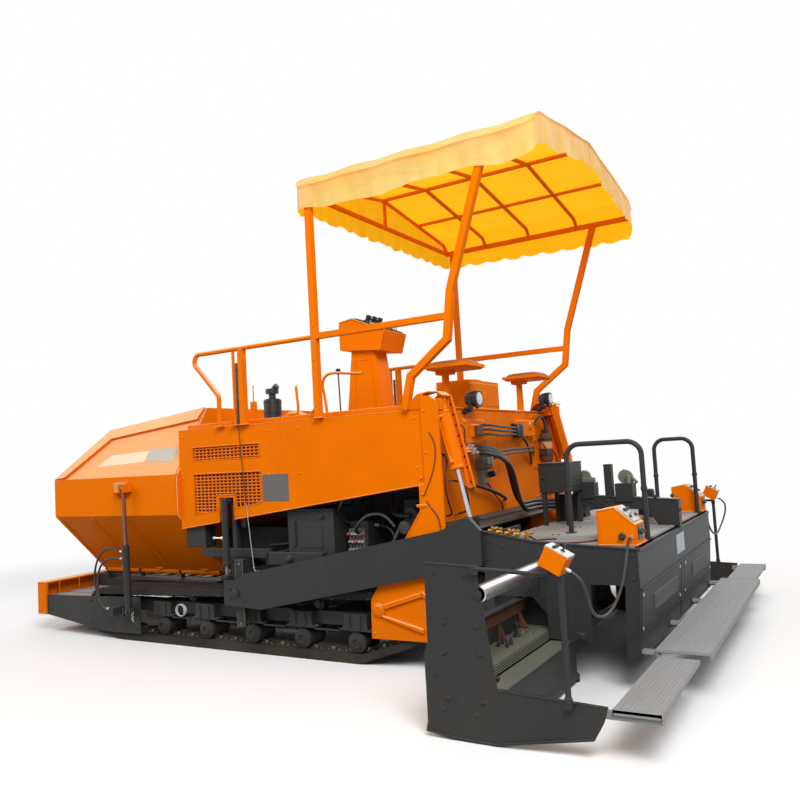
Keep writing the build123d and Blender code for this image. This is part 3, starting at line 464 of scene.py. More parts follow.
FINISHES = {
    # pale and glare paint a highlight of sky glare on the orange where it faces up
    "orange_paint": dict(colour=(240, 118, 0), roughness=0.45, coat=0.0, dust=0.14, low=0.2,
                         runs=0.06, wear=0.15, under=(176, 84, 14), tone=0.1, depth=0.0016,
                         pale=(252, 224, 172), glare=0.7, shine=0.03, dirt=(160, 100, 50)),
    # pale and glare paint a faint highlight of sky glare on dark paint where it faces up
    "dark_paint": dict(colour=(49, 49, 49), roughness=0.5, coat=0.02, dust=0.2, low=0.25,
                       under=(96, 95, 92), wear=0.4, dirt=(92, 86, 76), pale=(120, 118, 114),
                       glare=0.14, shine=0.2),
    "step_grey": dict(colour=(150, 150, 150), roughness=0.55, shine=0.3, dust=0.15, low=0.1,
                      wear=0.5, dirt=(132, 128, 122),
                      under=(176, 175, 172), bars=0.02, depth=0.0022),
    "track_rubber": dict(colour=(40, 38, 36), roughness=0.72, shine=0.2, dust=0.6, low=0.55,
                         wear=0.5, under=(100, 94, 86), dirt=(84, 76, 64), depth=0.002, grain=70.0),
    "bare_steel": dict(colour=(112, 108, 103), roughness=0.46, metallic=0.6, dust=0.5, low=0.5,
                       under=(186, 182, 176), wear=0.7, dirt=(98, 72, 50), tone=0.25),
    "hard_chrome": dict(colour=(188, 190, 194), roughness=0.3, metallic=1.0, dust=0.12, low=0.1,
                        wear=0.0, tone=0.05, depth=0.0003, radius=0.002),
    "cast_grey": dict(colour=(84, 84, 84), roughness=0.66, dust=0.4, depth=0.003, grain=60.0),
    "black_plastic": dict(colour=(30, 30, 31), roughness=0.42, dust=0.2, wear=0.1, low=0.2),
    "apron_rubber": dict(colour=(36, 36, 37), roughness=0.7, dust=0.5, wear=0.15, depth=0.002),
    "hose_rubber": dict(colour=(34, 34, 36), roughness=0.5, dust=0.2, wear=0.1, low=0.3,
                        under=(70, 70, 72), grain=260.0, depth=0.0008),
    "dark_red_rubber": dict(colour=(84, 26, 18), roughness=0.55, dust=0.2, wear=0.1, grain=260.0),
    "brass": dict(colour=(190, 148, 72), roughness=0.3, metallic=0.9, dust=0.2, wear=0.3,
                  under=(230, 200, 130), depth=0.0004, radius=0.0015),
    "zinc": dict(colour=(186, 184, 176), roughness=0.34, metallic=0.85, dust=0.25, wear=0.3,
                 under=(220, 218, 210), depth=0.0005, radius=0.0015),
    "light_grey": dict(colour=(186, 188, 190), roughness=0.45, coat=0.1, dust=0.2, wear=0.2),
    "blank_blue": dict(colour=(150, 164, 178), roughness=0.4, coat=0.2, dust=0.15, wear=0.1),
    "blank_grey": dict(colour=(92, 90, 86), roughness=0.5, dust=0.2, wear=0.2),
    "green_grey": dict(colour=(104, 108, 98), roughness=0.5, dust=0.3, wear=0.4),
    "pale_pad": dict(colour=(206, 152, 92), roughness=0.6, dust=0.2, wear=0.2),
    "red_cap": dict(colour=(176, 34, 22), roughness=0.4, coat=0.3, dust=0.15, wear=0.2),
    "rust": dict(colour=(96, 60, 40), roughness=0.8, dust=0.5, dirt=(132, 78, 46), tone=0.5,
                 wear=0.3, depth=0.002, grain=50.0),
    # Painted shade: a near-black sheet set where a hole or slot shows only shadow.
    "dark_hole": dict(colour=(14, 14, 15), roughness=0.85, dust=0.1, wear=0.0),
    "lens": dict(colour=(206, 212, 218), roughness=0.08, coat=1.0, dust=0.15, wear=0.0,
                 depth=0.0003, grain=20.0),
    "seat_cover": dict(colour=(150, 84, 30), roughness=0.6, dust=0.2, wear=0.2, grain=180.0),
    "stripe_pale": dict(colour=(236, 204, 166), roughness=0.4, coat=0.1, dust=0.2, wear=0.2),
    "stripe_grey": dict(colour=(178, 168, 152), roughness=0.4, coat=0.1, dust=0.2, wear=0.2),
    "dull_rod": dict(colour=(112, 92, 78), roughness=0.3, metallic=0.7, dust=0.2, wear=0.1,
                     radius=0.002, depth=0.0003),
    # Painted shade: the sheet behind the vent bars is coloured as the shaded bay seen through them.
    "vent_back_shade": dict(colour=(110, 30, 12), roughness=0.7, dust=0.15, wear=0.1, low=0.1),
    "deck_grey": dict(colour=(150, 145, 140), roughness=0.6, shine=0.3, dust=0.2, low=0.0, wear=0.3,
                      dirt=(120, 112, 100)),
}
for title, numbers in FINISHES.items():
    finish(title, **numbers)
print(len(FINISHES), "finishes")

# %% [markdown]
# ## Hoses and cables
# A hose is a length that bends gently, so its middle line is a NURBS curve: the few points of
# its route pull the line smoothly round every corner. The line is read back from Blender, and a
# round tube is laid along it with frames that never twist. The routes are in the machine's own
# millimetres, counted from the engine bay's rear face, and MID moves them to the row frame.

# %% Hoses and cables
MID = 1.344
REMOTE_CABLE = [
    (-1338, 2297, 903.6), (-1408.6, 2297, 866.1), (-1424, 2272, 790), (-1412, 2200, 716),
    (-1396, 2090, 650), (-1388, 1965, 605), (-1386, 1830, 590), (-1386, 1700, 606),
    (-1386, 1575, 650), (-1386, 1465, 715), (-1386, 1385, 800), (-1386, 1328, 880),
    (-1386, 1272, 925), (-1386, 1215, 925)]
WING_HOSES = [
    [(3010, 1320, 790), (3052, 1320, 790), (3100, 1321, 812), (3155, 1322, 822),
     (3215, 1323, 812), (3285, 1324, 776), (3338, 1325, 715), (3372, 1325, 640),
     (3385, 1324, 560), (3380, 1322, 480), (3360, 1318, 405), (3328, 1314, 340),
     (3285, 1311, 292), (3235, 1310, 270), (3180, 1310, 270)],
    [(3010, 1319, 730), (3100, 1319, 730), (3185, 1332, 726), (3262, 1344, 680),
     (3308, 1347, 600), (3318, 1346, 505), (3314, 1344, 425), (3292, 1340, 350),
     (3248, 1334, 297), (3180, 1334, 290)]]
LIFT_HOSE = [
    (-22, 560, 1530), (-127, 560, 1530), (-216, 522, 1503), (-262, 440, 1445),
    (-258, 345, 1360), (-240, 262, 1250), (-232, 180, 1128), (-232, 85, 1054),
    (-232, -35, 1054), (-232, -178, 1054), (-284, -275, 1050), (-385, -332, 1048),
    (-500, -332, 1048)]
HOSE_FAN = (-30, 26, -26)
WALL_LINES = [
    [(-22, 1080, 1490), (-90, 1080, 1490), (-127, 1112, 1430), (-127, 1166, 1340),
     (-127, 1166, 1240), (-124, 1130, 1145), (-120, 1076, 1078), (-86, 1035, 1045),
     (-22, 1035, 1045)],
    [(-22, 905, 1290), (-97, 905, 1290), (-150, 895, 1232), (-150, 850, 1105),
     (-97, 842, 1045), (-22, 842, 1045)]]
VALVE_HOSE = [
    (640, 900, 970), (538, 900, 970), (466, 902, 898), (466, 902, 797), (538, 900, 725),
    (640, 900, 725)]
SIDES = {"left": 1, "right": -1}


def at(points):
    """Points in the machine's millimetres, as an array in metres in the row frame."""
    points = np.asarray(points, float) / 1000
    return points - np.array([MID, 0, 0])


def grid_faces(rows, columns, around=False):
    """Quads over a grid of points. With around, the last column is joined to the first."""
    index = np.arange(rows * columns).reshape(rows, columns)
    if around:
        index = np.concatenate([index, index[:, :1]], axis=1)
    quads = np.stack([index[:-1, :-1], index[:-1, 1:], index[1:, 1:], index[1:, :-1]], axis=-1)
    return quads.reshape(-1, 4).tolist()


def smooth_line(points, steps=8):
    """The NURBS line that the route's points pull into shape, as Blender itself works it out."""
    curve = bpy.data.curves.new("route", "CURVE")
    curve.dimensions = "3D"
    curve.resolution_u = steps
    spline = curve.splines.new("NURBS")
    spline.points.add(len(points) - 1)
    spline.points.foreach_set("co", np.hstack([points, np.ones((len(points), 1))]).ravel())
    spline.order_u = 3
    spline.use_endpoint_u = True
    holder = bpy.data.objects.new("route", curve)
    mesh = bpy.data.meshes.new_from_object(holder)
    line = np.empty(len(mesh.vertices) * 3)
    mesh.vertices.foreach_get("co", line)
    bpy.data.objects.remove(holder)
    bpy.data.curves.remove(curve)
    bpy.data.meshes.remove(mesh)
    return line.reshape(-1, 3)


def frames_along(line):
    """Tangent and two cross directions at each point: each frame is the last one, tipped over by
    the turn of the line between them, so that the section never spins."""
    tangent = np.gradient(line, axis=0)
    tangent /= np.linalg.norm(tangent, axis=1, keepdims=True)
    start = np.cross(tangent[0], (0.13, 0.21, 0.97))
    if np.linalg.norm(start) < 0.2:
        start = np.cross(tangent[0], (0.97, 0.21, 0.13))
    side = [start / np.linalg.norm(start)]
    for way in tangent[1:]:
        flat = side[-1] - way * np.dot(side[-1], way)
        side.append(flat / np.linalg.norm(flat))
    side = np.array(side)
    return tangent, side, np.cross(tangent, side)


def tube(line, radius, sides=12):
    """Rings of points round a line, with a flat cap at each end: centre plus radius times the
    cosine and sine of the turn along the two cross directions. radius may change along the line."""
    line = np.asarray(line, float)
    _, side, over = frames_along(line)
    turn = np.linspace(0, 2 * np.pi, sides, endpoint=False)
    radius = np.broadcast_to(np.asarray(radius, float), len(line))[:, None, None]
    ring = side[:, None] * np.cos(turn)[:, None] + over[:, None] * np.sin(turn)[:, None]
    points = (line[:, None] + radius * ring).reshape(-1, 3)
    faces = grid_faces(len(line), sides, around=True)
    last = len(points)
    faces += [list(range(sides))[::-1], list(range(last - sides, last))]
    return points, faces


def merge(*shapes):
    """Several shapes as one: the points stacked, and the faces counted on."""
    starts = np.cumsum([0] + [len(points) for points, _ in shapes])
    faces = [(np.asarray(face) + start).tolist() for (_, part), start in zip(shapes, starts)
             for face in part]
    return np.concatenate([points for points, _ in shapes]), faces


def flip(shape):
    """The shape's mirror image in the plane y = 0, with its faces turned to stay outward."""
    points, faces = shape
    return points * (1, -1, 1), [face[::-1] for face in faces]


def piece(name, shape, body, finish, soft=30, closed=True):
    """A new object from a shape, with its material, riding on a body. Edges under soft degrees
    are shaded smooth. finish is a material's name, or a list with one material's name per face.
    The faces of a closed shape are turned outward."""
    points, faces = shape
    mesh = bpy.data.meshes.new(name)
    mesh.from_pydata(points.tolist(), [], faces)
    if closed:
        work = bmesh.new()
        work.from_mesh(mesh)
        bmesh.ops.recalc_face_normals(work, faces=work.faces)
        work.to_mesh(mesh)
        work.free()
    names = sorted(set(finish)) if isinstance(finish, list) else [finish]
    for title in names:
        mesh.materials.append(bpy.data.materials[title])
    if isinstance(finish, list):
        mesh.polygons.foreach_set("material_index", [names.index(title) for title in finish])
    mesh.update()
    if soft:
        mesh.shade_smooth()
        mesh.set_sharp_from_angle(angle=math.radians(soft))
    made = bpy.data.objects.new(name, mesh)
    bpy.context.scene.collection.objects.link(made)
    if body:
        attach(made, body)
    return made

# %% [markdown]
# ## Shapes to build with
# Almost every fitting on a machine is cut plate, turned stock or a bolt. A plate is an outline
# with a small bevel on both rims, because only a bevel catches the light as a real edge does. A
# turned part is a profile spun round an axis. Copies are made by adding all their places to one
# array at once.

# %% Shapes
AXES = {"x": (1, 2, 0), "y": (0, 2, 1), "z": (0, 1, 2)}


def slab(outline, low, high, axis="y", bevel=0.002):
    """A plate: its outline, shrunk by the bevel along the mean of each corner's two edge normals,
    at both ends, and full size in between. axis is the way through its thickness."""
    flat = np.asarray(outline, float)
    before, after = flat - np.roll(flat, 1, axis=0), np.roll(flat, -1, axis=0) - flat
    area = np.sum(flat[:, 0] * np.roll(flat[:, 1], -1) - flat[:, 1] * np.roll(flat[:, 0], -1))
    turn = np.array([[0, -1], [1, 0]]) * (1 if area > 0 else -1)
    normal = [edge / np.linalg.norm(edge, axis=1, keepdims=True) @ turn for edge in (before, after)]
    total = normal[0] + normal[1]
    inward = total / (1 + np.sum(normal[0] * normal[1], axis=1, keepdims=True))
    small = flat - bevel * inward
    rings = [(small, low), (flat, low + bevel), (flat, high - bevel), (small, high)]
    first, second, third = AXES[axis]
    points = np.zeros((4, len(flat), 3))
    for row, (ring, level) in zip(points, rings):
        row[:, first], row[:, second], row[:, third] = ring[:, 0], ring[:, 1], level
    last = 3 * len(flat)
    faces = grid_faces(4, len(flat), around=True)
    faces += [list(range(len(flat)))[::-1], list(range(last, last + len(flat)))]
    return points.reshape(-1, 3), faces


def plate(points, low, high, axis="y", bevel=2.0):
    """A slab given in the machine's millimetres."""
    solid, faces = slab(points, low, high, axis, bevel)
    return at(solid), faces


def block(x, y, z, bevel=3.0):
    """A box with bevelled edges, from (low, high) pairs in the machine's millimetres."""
    corners = [(x[0], y[0]), (x[1], y[0]), (x[1], y[1]), (x[0], y[1])]
    return plate(corners, *z, "z", bevel)


def lathe(profile, sides=24):
    """A profile of (radius, height) spun round Z, with both ends closed by a flat face."""
    profile = np.asarray(profile, float)
    turn = np.linspace(0, 2 * np.pi, sides, endpoint=False)
    points = np.zeros((len(profile), sides, 3))
    points[..., 0] = profile[:, :1] * np.cos(turn)
    points[..., 1] = profile[:, :1] * np.sin(turn)
    points[..., 2] = profile[:, 1:]
    last = len(profile) * sides
    faces = grid_faces(len(profile), sides, around=True)
    faces += [list(range(sides))[::-1], list(range(last - sides, last))]
    return points.reshape(-1, 3), faces


def facing(way):
    """A turn that takes Z to the given direction, as a 3x3 matrix of its three columns."""
    way = np.array(way, float) / np.linalg.norm(way)
    side = np.cross((0, 1, 0) if abs(way[1]) < 0.9 else (1, 0, 0), way)
    side /= np.linalg.norm(side)
    return np.column_stack([side, np.cross(way, side), way])


def copies(shape, places, way=(0, 0, 1)):
    """The shape, given in millimetres round the origin, turned to face a way and put at every
    place (in the machine's millimetres), all in one addition of arrays."""
    points, faces = shape
    places = at(np.atleast_2d(places))
    turned = points @ facing(way).T / 1000
    stacked = (places[:, None] + turned[None]).reshape(-1, 3)
    starts = np.arange(len(places)) * len(points)
    faces = [(np.asarray(face) + start).tolist() for start in starts for face in faces]
    return stacked, faces


def bolt(radius):
    """A hexagon head with a chamfered top on its washer, about as high as a real one."""
    head = lathe([(radius * 0.7, 0), (radius, 0), (radius, radius * 0.55),
                  (radius * 0.86, radius * 0.72), (radius * 0.3, radius * 0.74)], 6)
    ring = lathe([(radius * 1.35, -1.0), (radius * 1.35, radius * 0.14),
                  (radius * 1.28, radius * 0.2), (radius * 0.7, radius * 0.2)], 18)
    return merge(head, ring)


def knob(radius, height):
    """A turned grip: a waist, a swelling body and a domed end."""
    steps = np.linspace(0, 1, 9)
    body = np.column_stack([radius * (0.55 + 0.45 * np.sin(steps * np.pi * 0.62) ** 0.7),
                            height * (0.25 + 0.65 * steps)])
    return lathe([(radius * 0.4, 0), (radius * 0.4, height * 0.25), *body.tolist(),
                  (radius * 0.6, height * 0.98), (radius * 0.1, height)], 20)


def both(shape):
    """The shape and its mirror image."""
    return merge(shape, flip(shape))


def either(name, shape, body, material, **more):
    """A left piece and its mirror image on the right, each on the body of its own side."""
    for side, sign in SIDES.items():
        whole = shape if sign > 0 else flip(shape)
        piece(f"{name}_{side}", whole, f"{body}_{side}", material, **more)


# %% [markdown]
# ## Every hose in its place
# Each hose is laid along its route and its length is printed, because a hose is cut to a length
# and can't stretch. On the machine the three thick ones bend between the tractor and the screed as
# the screed lifts, and the remote cable bends as the extension slides in; here each of them is laid
# in one pose and rides on no body. Ferrules are the crimped metal ends: they hold the hose and
# taper where it leaves them.

# %% Hoses in place
def ferrule(line, radius, reach):
    """A crimped sleeve on a hose's first stretch: two collars, then a taper down to the hose."""
    along = np.concatenate([[0], np.cumsum(np.linalg.norm(np.diff(line, axis=0), axis=1))])
    steps = np.array([0, 0.3, 0.31, 0.62, 0.66, 1.0]) * reach
    middle = np.column_stack([np.interp(steps, along, axis) for axis in line.T])
    return tube(middle, radius * np.array([1.45, 1.45, 1.22, 1.22, 1.2, 1.06]), 12)


def lay_hose(name, route, diameter, node_name, bodies, finish_name="hose_rubber", sides=12):
    """One hose with a ferrule at each end, riding on one body, or with its place baked in and on no
    body when bodies names two. For two, the places that bodies also holds are not used."""
    line = smooth_line(route, 7)
    made = piece(name, tube(line, diameter / 2, sides), None, finish_name)
    reach = max(0.03, 1.8 * diameter)
    ends = merge(ferrule(line, diameter / 2, reach), ferrule(line[::-1], diameter / 2, reach))
    cuffs = piece(name + "_ends", ends, None, "zinc")
    for part in (made, cuffs):
        if len(bodies) == 1:
            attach(part, bodies[0])
        else:
            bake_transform(part)
    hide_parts(node_name)
    print(name, "is", round(float(np.linalg.norm(np.diff(line, axis=0), axis=1).sum()), 3),
          "m long")


for side, sign in SIDES.items():
    turn = np.array([1, sign, 1])
    lay_hose(f"remote_cable_{side}", at(REMOTE_CABLE) * turn, 0.016, "screed_cables",
             (f"extension_{side}", "screed", at((-1384, 2250, 700)) * turn,
              at((-1384, 1290, 700)) * turn))
    for number, route in enumerate(WING_HOSES):
        lay_hose(f"wing_hose_{number + 1}_{side}", at(route) * turn, 0.018,
                 f"wing_hoses_{side}", (f"wing_ram_barrel_{side}",), sides=10)
    for number, route in enumerate(WALL_LINES):
        lay_hose(f"wall_line_{number + 1}_{side}", at(route) * turn, 0.014,
                 "hoses", ("tractor",), "dark_red_rubber", 8)
for number in range(3):
    shift = np.array(HOSE_FAN) * number / 1000
    lay_hose(f"lift_hose_{number + 1}", at(LIFT_HOSE) + shift, 0.034, "hoses",
             ("tractor", "screed", at((-232, 120, 1040)) + shift, at((-232, -60, 1040)) + shift),
             sides=14)
lay_hose("valve_hose", at(VALVE_HOSE), 0.022, "hoses", ("tractor",))

# %% [markdown]
# ## The canopy
# A canopy is one cut of cloth that lies on its ribs and hangs down at the rim. So it is one grid:
# rings that shrink towards the middle make the roof, and rings that go down make the valance. The
# height of a roof point depends only on how far it is from the ridge, plus a little sag between
# the ribs. The hem is cut in scallops, and on the left it has blown up on to the rail in soft
# folds.

# %% Canopy
canopy_low, canopy_high = (np.array(corner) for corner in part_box("canopy_cover"))
CANOPY_MIDDLE = (canopy_low + canopy_high) / 2
HALF_X, HALF_Y = (canopy_high - canopy_low)[:2] / 2
RIDGE, EAVE, HEM = canopy_high[2], 3.690, canopy_low[2]
RIB_X = at([(x, 0, 0) for x in (-930, -455, 25, 495, 935)])[:, 0]


def rounded_outline(half_x, half_y, radius, count):
    """Points evenly spaced by arc length round a rectangle with round corners."""
    turn = np.linspace(0, np.pi / 2, 9)
    corners = [((half_x - radius) * sx + radius * np.cos(turn + start),
                (half_y - radius) * sy + radius * np.sin(turn + start))
               for sx, sy, start in ((1, 1, 0), (-1, 1, np.pi / 2), (-1, -1, np.pi),
                                     (1, -1, 1.5 * np.pi))]
    line = np.concatenate([np.column_stack(corner) for corner in corners])
    line = np.concatenate([line, line[:1]])
    along = np.concatenate([[0], np.cumsum(np.linalg.norm(np.diff(line, axis=0), axis=1))])
    steps = np.linspace(0, along[-1], count, endpoint=False)
    return np.column_stack([np.interp(steps, along, axis) for axis in line.T]), steps


def roof_height(x, y):
    """Ridge height less the slope, a round shoulder at the eave, and a sag that is zero on every
    rib and on the three rails along the roof."""
    away = np.abs(y) / HALF_Y
    slope = RIDGE - (RIDGE - EAVE) * away ** 1.12
    shoulder = 0.10 * np.clip((away - 0.86) / 0.14, 0, 1) ** 2.2
    spot = np.interp(x, RIB_X, np.arange(len(RIB_X)))
    between = np.sin(np.pi * spot) ** 2
    across = np.sin(np.pi * away * 2) ** 2
    return slope - shoulder - 0.020 * between * (0.45 + 0.55 * across) - 0.006 * across


def make_canopy():
    """Rings from the middle out to the eave, then the valance's rings down to the scalloped hem."""
    count = 420
    rim, steps = rounded_outline(HALF_X - 0.006, HALF_Y - 0.006, 0.05, count)
    share = np.linspace(0.015, 1, 34) ** 0.85
    roof = np.zeros((len(share), count, 3))
    roof[..., :2] = CANOPY_MIDDLE[:2] + share[:, None, None] * rim[None]
    roof[..., 2] = roof_height(roof[..., 0], roof[..., 1])
    top = roof[-1, :, 2]
    left = np.clip((rim[:, 1] - HALF_Y * 0.80) / (HALF_Y * 0.19), 0, 1)
    rear = np.clip((-rim[:, 0] - HALF_X * 0.93) / (HALF_X * 0.06), 0, 1)
    front_share = np.clip((rim[:, 0] + HALF_X) / (2 * HALF_X), 0, 1)
    scallop = 0.026 * np.abs(np.sin(np.pi * steps / 0.20)) ** 0.8
    ragged = 0.016 * np.sin(steps * 5.3 + 1.0) + 0.010 * np.sin(steps * 13.7)
    hem = HEM + 0.034 - scallop + 0.055 * front_share
    rolled = HEM + 0.05 + ragged
    hem = hem * (1 - left) + rolled * left
    flap = top - 0.17 - scallop * 0.5 - 0.035 * np.sin(rim[:, 1] * 1.9) ** 2
    hem = hem * (1 - rear) + np.maximum(flap, HEM + 0.006) * rear
    drop = np.linspace(0, 1, 15)[1:]
    out = rim / np.linalg.norm(rim, axis=1, keepdims=True)
    fold = (0.011 * np.sin(steps * 17.0 + 0.8 * np.sin(steps * 3.1))
            + 0.006 * np.sin(steps * 41.0 + 2.0))
    bulge = np.sin(drop * np.pi * 0.5)[:, None] * fold - 0.012
    skirt = np.zeros((len(drop), count, 3))
    skirt[..., :2] = CANOPY_MIDDLE[:2] + rim[None] + out[None] * bulge[..., None]
    skirt[..., 2] = top + (hem - top) * drop[:, None]
    points = np.concatenate([roof, skirt]).reshape(-1, 3)
    crease = (0.0035 * np.sin(points[:, 0] * 9 + 3 * np.sin(points[:, 1] * 2.3))
              * np.sin(points[:, 1] * 5.1))
    points[:, 2] += crease
    faces = grid_faces(len(share) + len(drop), count, around=True)
    faces.append(list(range(count))[::-1])
    return points, [face[::-1] for face in faces]


def cloth_finish():
    """Waxed canvas: tan outside, with light and shade painted on its creases, and a warm glow where
    light comes through from above: a saturated orange painted on the back faces, beside a
    translucent shader.
    """
    material = bpy.data.materials["canopy_cloth"]
    tree = material.node_tree
    tree.nodes.clear()
    out = tree.nodes.new("ShaderNodeOutputMaterial")
    weather_and_glare = use(tree, "weather_and_glare", Colour=linear(238, 220, 120), Dirt=linear(214, 176, 98),
                  Tone=0.12, Dust=0.35, Low=0.0, Runs=0.25)
    weave = use(tree, "weave", Thread=0.004, Crease=0.8)
    # Painted light and shade on the creases: lighter on their crests, darker in their hollows.
    folds = node(tree, "Mix", {"Factor": (weave, "Tone"), 6: linear(230, 202, 88),
                               7: linear(252, 238, 168)},
                 data_type="RGBA")
    outer = node(tree, "Mix", {"Factor": 0.5, 6: (weather_and_glare, "Colour"), 7: (folds, 2)},
                 data_type="RGBA")
    side = tree.nodes.new("ShaderNodeNewGeometry")
    # Painted glow: the back faces get a saturated orange for light coming through the cloth,
    # lighter and darker with the creases.
    inner = node(tree, "Mix", {"Factor": (weave, "Tone"), 6: linear(234, 132, 0),
                               7: linear(246, 164, 4)},
                 data_type="RGBA")
    colour = node(tree, "Mix", {"Factor": (side, "Backfacing"), 6: (outer, 2), 7: (inner, 2)},
                  data_type="RGBA")
    bump = node(tree, "Bump", {"Height": (weave, "Height"), "Distance": 0.012, "Strength": 1.0})
    skin = node(tree, "BsdfPrincipled", {
        "Base Color": (colour, 2), "Roughness": 0.62, "Sheen Weight": 0.15, "Normal": (bump, 0)})
    through = node(tree, "BsdfTranslucent", {"Color": linear(255, 190, 20), "Normal": (bump, 0)})
    share = spread(tree, (side, "Backfacing"), 0.0, 1.0, 0.35, 0.62)
    mix = node(tree, "MixShader", {0: (share, 0), 1: (skin, 0), 2: (through, 0)})
    wire(tree, mix, 0, out, "Surface")


cloth_finish()
canopy = piece("canopy_cloth", make_canopy(), "tractor", "canopy_cloth", soft=60, closed=False)
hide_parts("canopy_cover")
print("canopy faces:", len(canopy.data.polygons))

# %% [markdown]
# ## The hopper wings
# Along the wing's free edges a strip of sheet is folded in to stiffen them. Its inner edge stands
# off the plate, so it takes the light differently and casts a thin shadow, which is what makes
# the fold readable. The slanted plate is easiest to work on in its own two directions: along the
# machine, and up the slope.

# %% Wing edges and stripes
SHOULDER, CREST = (1248.0, 1436.0), (850.0, 2036.0)
SLOPE = np.array([CREST[0] - SHOULDER[0], CREST[1] - SHOULDER[1]])
SLOPE /= np.linalg.norm(SLOPE)
STAND = np.array([SLOPE[1], -SLOPE[0]])


def on_slope(points):
    """(along x, up the slope, off the plate) in millimetres as points of the machine."""
    x, up, off = np.asarray(points, float).T
    return np.column_stack([x, SHOULDER[0] + up * SLOPE[0] + off * STAND[0],
                            SHOULDER[1] + up * SLOPE[1] + off * STAND[1]])


def strip(outer, inner, rise, thick):
    """A closed band between two lines of (x, up), flush along the outer one and standing off
    along the inner one."""
    outer, inner = (np.asarray(line, float) for line in (outer, inner))
    section = [(outer, 12.2), (outer, thick + 12), (inner, rise + 12), (inner, rise + 12 - thick),
               (inner + 2, 12.2)]
    rings = np.stack([np.column_stack([line, np.full(len(line), off)]) for line, off in section],
                     axis=1)
    count = len(section)
    faces = grid_faces(len(outer), count, around=True)
    last = len(outer) * count
    faces += [list(range(count))[::-1], list(range(last - count, last))]
    return at(on_slope(rings.reshape(-1, 3))), faces


EDGE_OUT = [(4004, 2), (3556, 531), (2400, 690)]
EDGE_IN = [(3832, 2), (3440, 412), (2400, 545)]
wing_lip = strip(EDGE_OUT, EDGE_IN, 30, 5)
either("wing_lip", wing_lip, "wing", "orange_paint", soft=10)

fold_line = plate([(1249, 1104), (1253, 1104), (1253, 1432), (1249, 1432)], 3866, 3876, "x", 0.8)
top_hem = copies(lathe([(9, 0), (9, 1612)], 10), [(2396, 1244, 1439)], (1, 0, 0))
low_hem = copies(lathe([(8, 0), (8, 1606)], 10), [(2398, 1247, 1101)], (1, 0, 0))
end_flange = plate([(1250, 1100), (1214, 1100), (1214, 1108), (1242, 1108), (1242, 1428),
                    (1214, 1428), (1214, 1436), (1250, 1436)], 3990, 4006, "x", 1)
WING_NORMALS = [(0.833, 0.553), (1.0, 0.302), (1.0, -0.402), (0.722, -0.691)]
WING_LINE = [(868, 2009), (1248, 1436), (1248, 1100), (1140, 988)]
rear_lip = plate([(y + n * 0.6, z + m * 0.6) for (y, z), (n, m) in zip(WING_LINE, WING_NORMALS)]
                 + [(y + n * 11.4, z + m * 11.4)
                    for (y, z), (n, m) in zip(WING_LINE, WING_NORMALS)][::-1],
                 2391.4, 2397.2, "x", 0.6)
either("wing_folds", merge(fold_line, top_hem, low_hem, end_flange, rear_lip), "wing",
       "orange_paint")


def decal(corners):
    """A blank sticker: a very thin slab that follows the slope."""
    ring = np.array([(x, up, off) for off in (12.2, 13.4) for x, up in corners], float)
    faces = grid_faces(2, 4, around=True) + [[3, 2, 1, 0], [4, 5, 6, 7]]
    return at(on_slope(ring)), faces


either("wing_stripe_blue", decal([(2500, 130), (2856, 142), (2856, 280), (2500, 266)]), "wing",
       "stripe_grey", soft=0)
either("wing_stripe_white", decal([(2860, 142), (3470, 116), (3350, 236), (2860, 262)]), "wing",
       "stripe_pale", soft=0)

pad = block((2975, 3125), (1248, 1300), (1296, 1390), 6)
ears = [plate([(1248, 1240), (1330, 1300), (1330, 1312), (1248, 1312)], x, x + 10, "x", 1.5)
        for x in (3014, 3092)]
pin_head = copies(bolt(17), [(2996, 1330, 1340)], (1, 0, 0))
hinge_bolts = copies(bolt(9), [(x, 1248, z) for x in (3040, 3080) for z in (1255, 1275)], (0, 1, 0))
either("wing_bracket", merge(*ears, pin_head, hinge_bolts), "wing", "orange_paint")
either("wing_pad", pad, "wing", "pale_pad")

rib_caps = [plate([(1240, 1092), (1248, 1092), (800, 632), (792, 632)], x - 14, x + 26, "x", 1.5)
            for x in (3050, 3500)]
hinge_strap = [block((x, x + 90), (690, 748), (548, 562), 2) for x in (2560, 3150, 3650)]
grease = copies(lathe([(4, 0), (4, 8), (6, 8), (6, 12), (3, 16)], 8),
                [(x, 736, 536) for x in (2600, 3200, 3700)], (0, 1, 0.2))
either("wing_underside", merge(*rib_caps, *hinge_strap, grease), "wing", "orange_paint")
print("wings dressed")

# %% [markdown]
# ## Vents, panels and the engine bay
# A vent is two sets of thin bars that cross, over a back sheet coloured dark red-brown as painted
# shade of the bay behind it. The bars are real, because a pattern painted on a flat sheet looks
# flat as soon as the light comes from the side. They are all one shape copied along a row of
# places, and the window's outline cuts the rows to length.

# %% Vents and side panels
def bars(line_range, across_range, step, thick, y, upright):
    """Parallel bars over a window: each one a thin slab from end to end of its row."""
    places = np.arange(line_range[0] + step / 2, line_range[1], step)
    made = []
    for place in places:
        low, high = across_range(place)
        x, z = ((place - thick, place + thick), (low, high))
        if not upright:
            x, z = z, x
        made.append(block(x, y, z, 0.6))
    return merge(*made)


def lower_edge(x):
    """The lower window's bottom edge, which climbs to the rear and steps round the ram's slot."""
    if 1755 < x < 1967:
        return 1255
    return 1148 + (x - 1760) * -0.133 if x < 1760 else 1125 + (x - 1962) * -0.105


def window_rows(z):
    """Where a level bar of the lower window starts and ends, as one or two stretches."""
    if z > 1262:
        return [(1484, 2216)]
    if z > 1190:
        return [(1484, 1758), (1966, 2216)]
    return [(1966, 2216)] if z > 1128 else [(2075, 2216)]


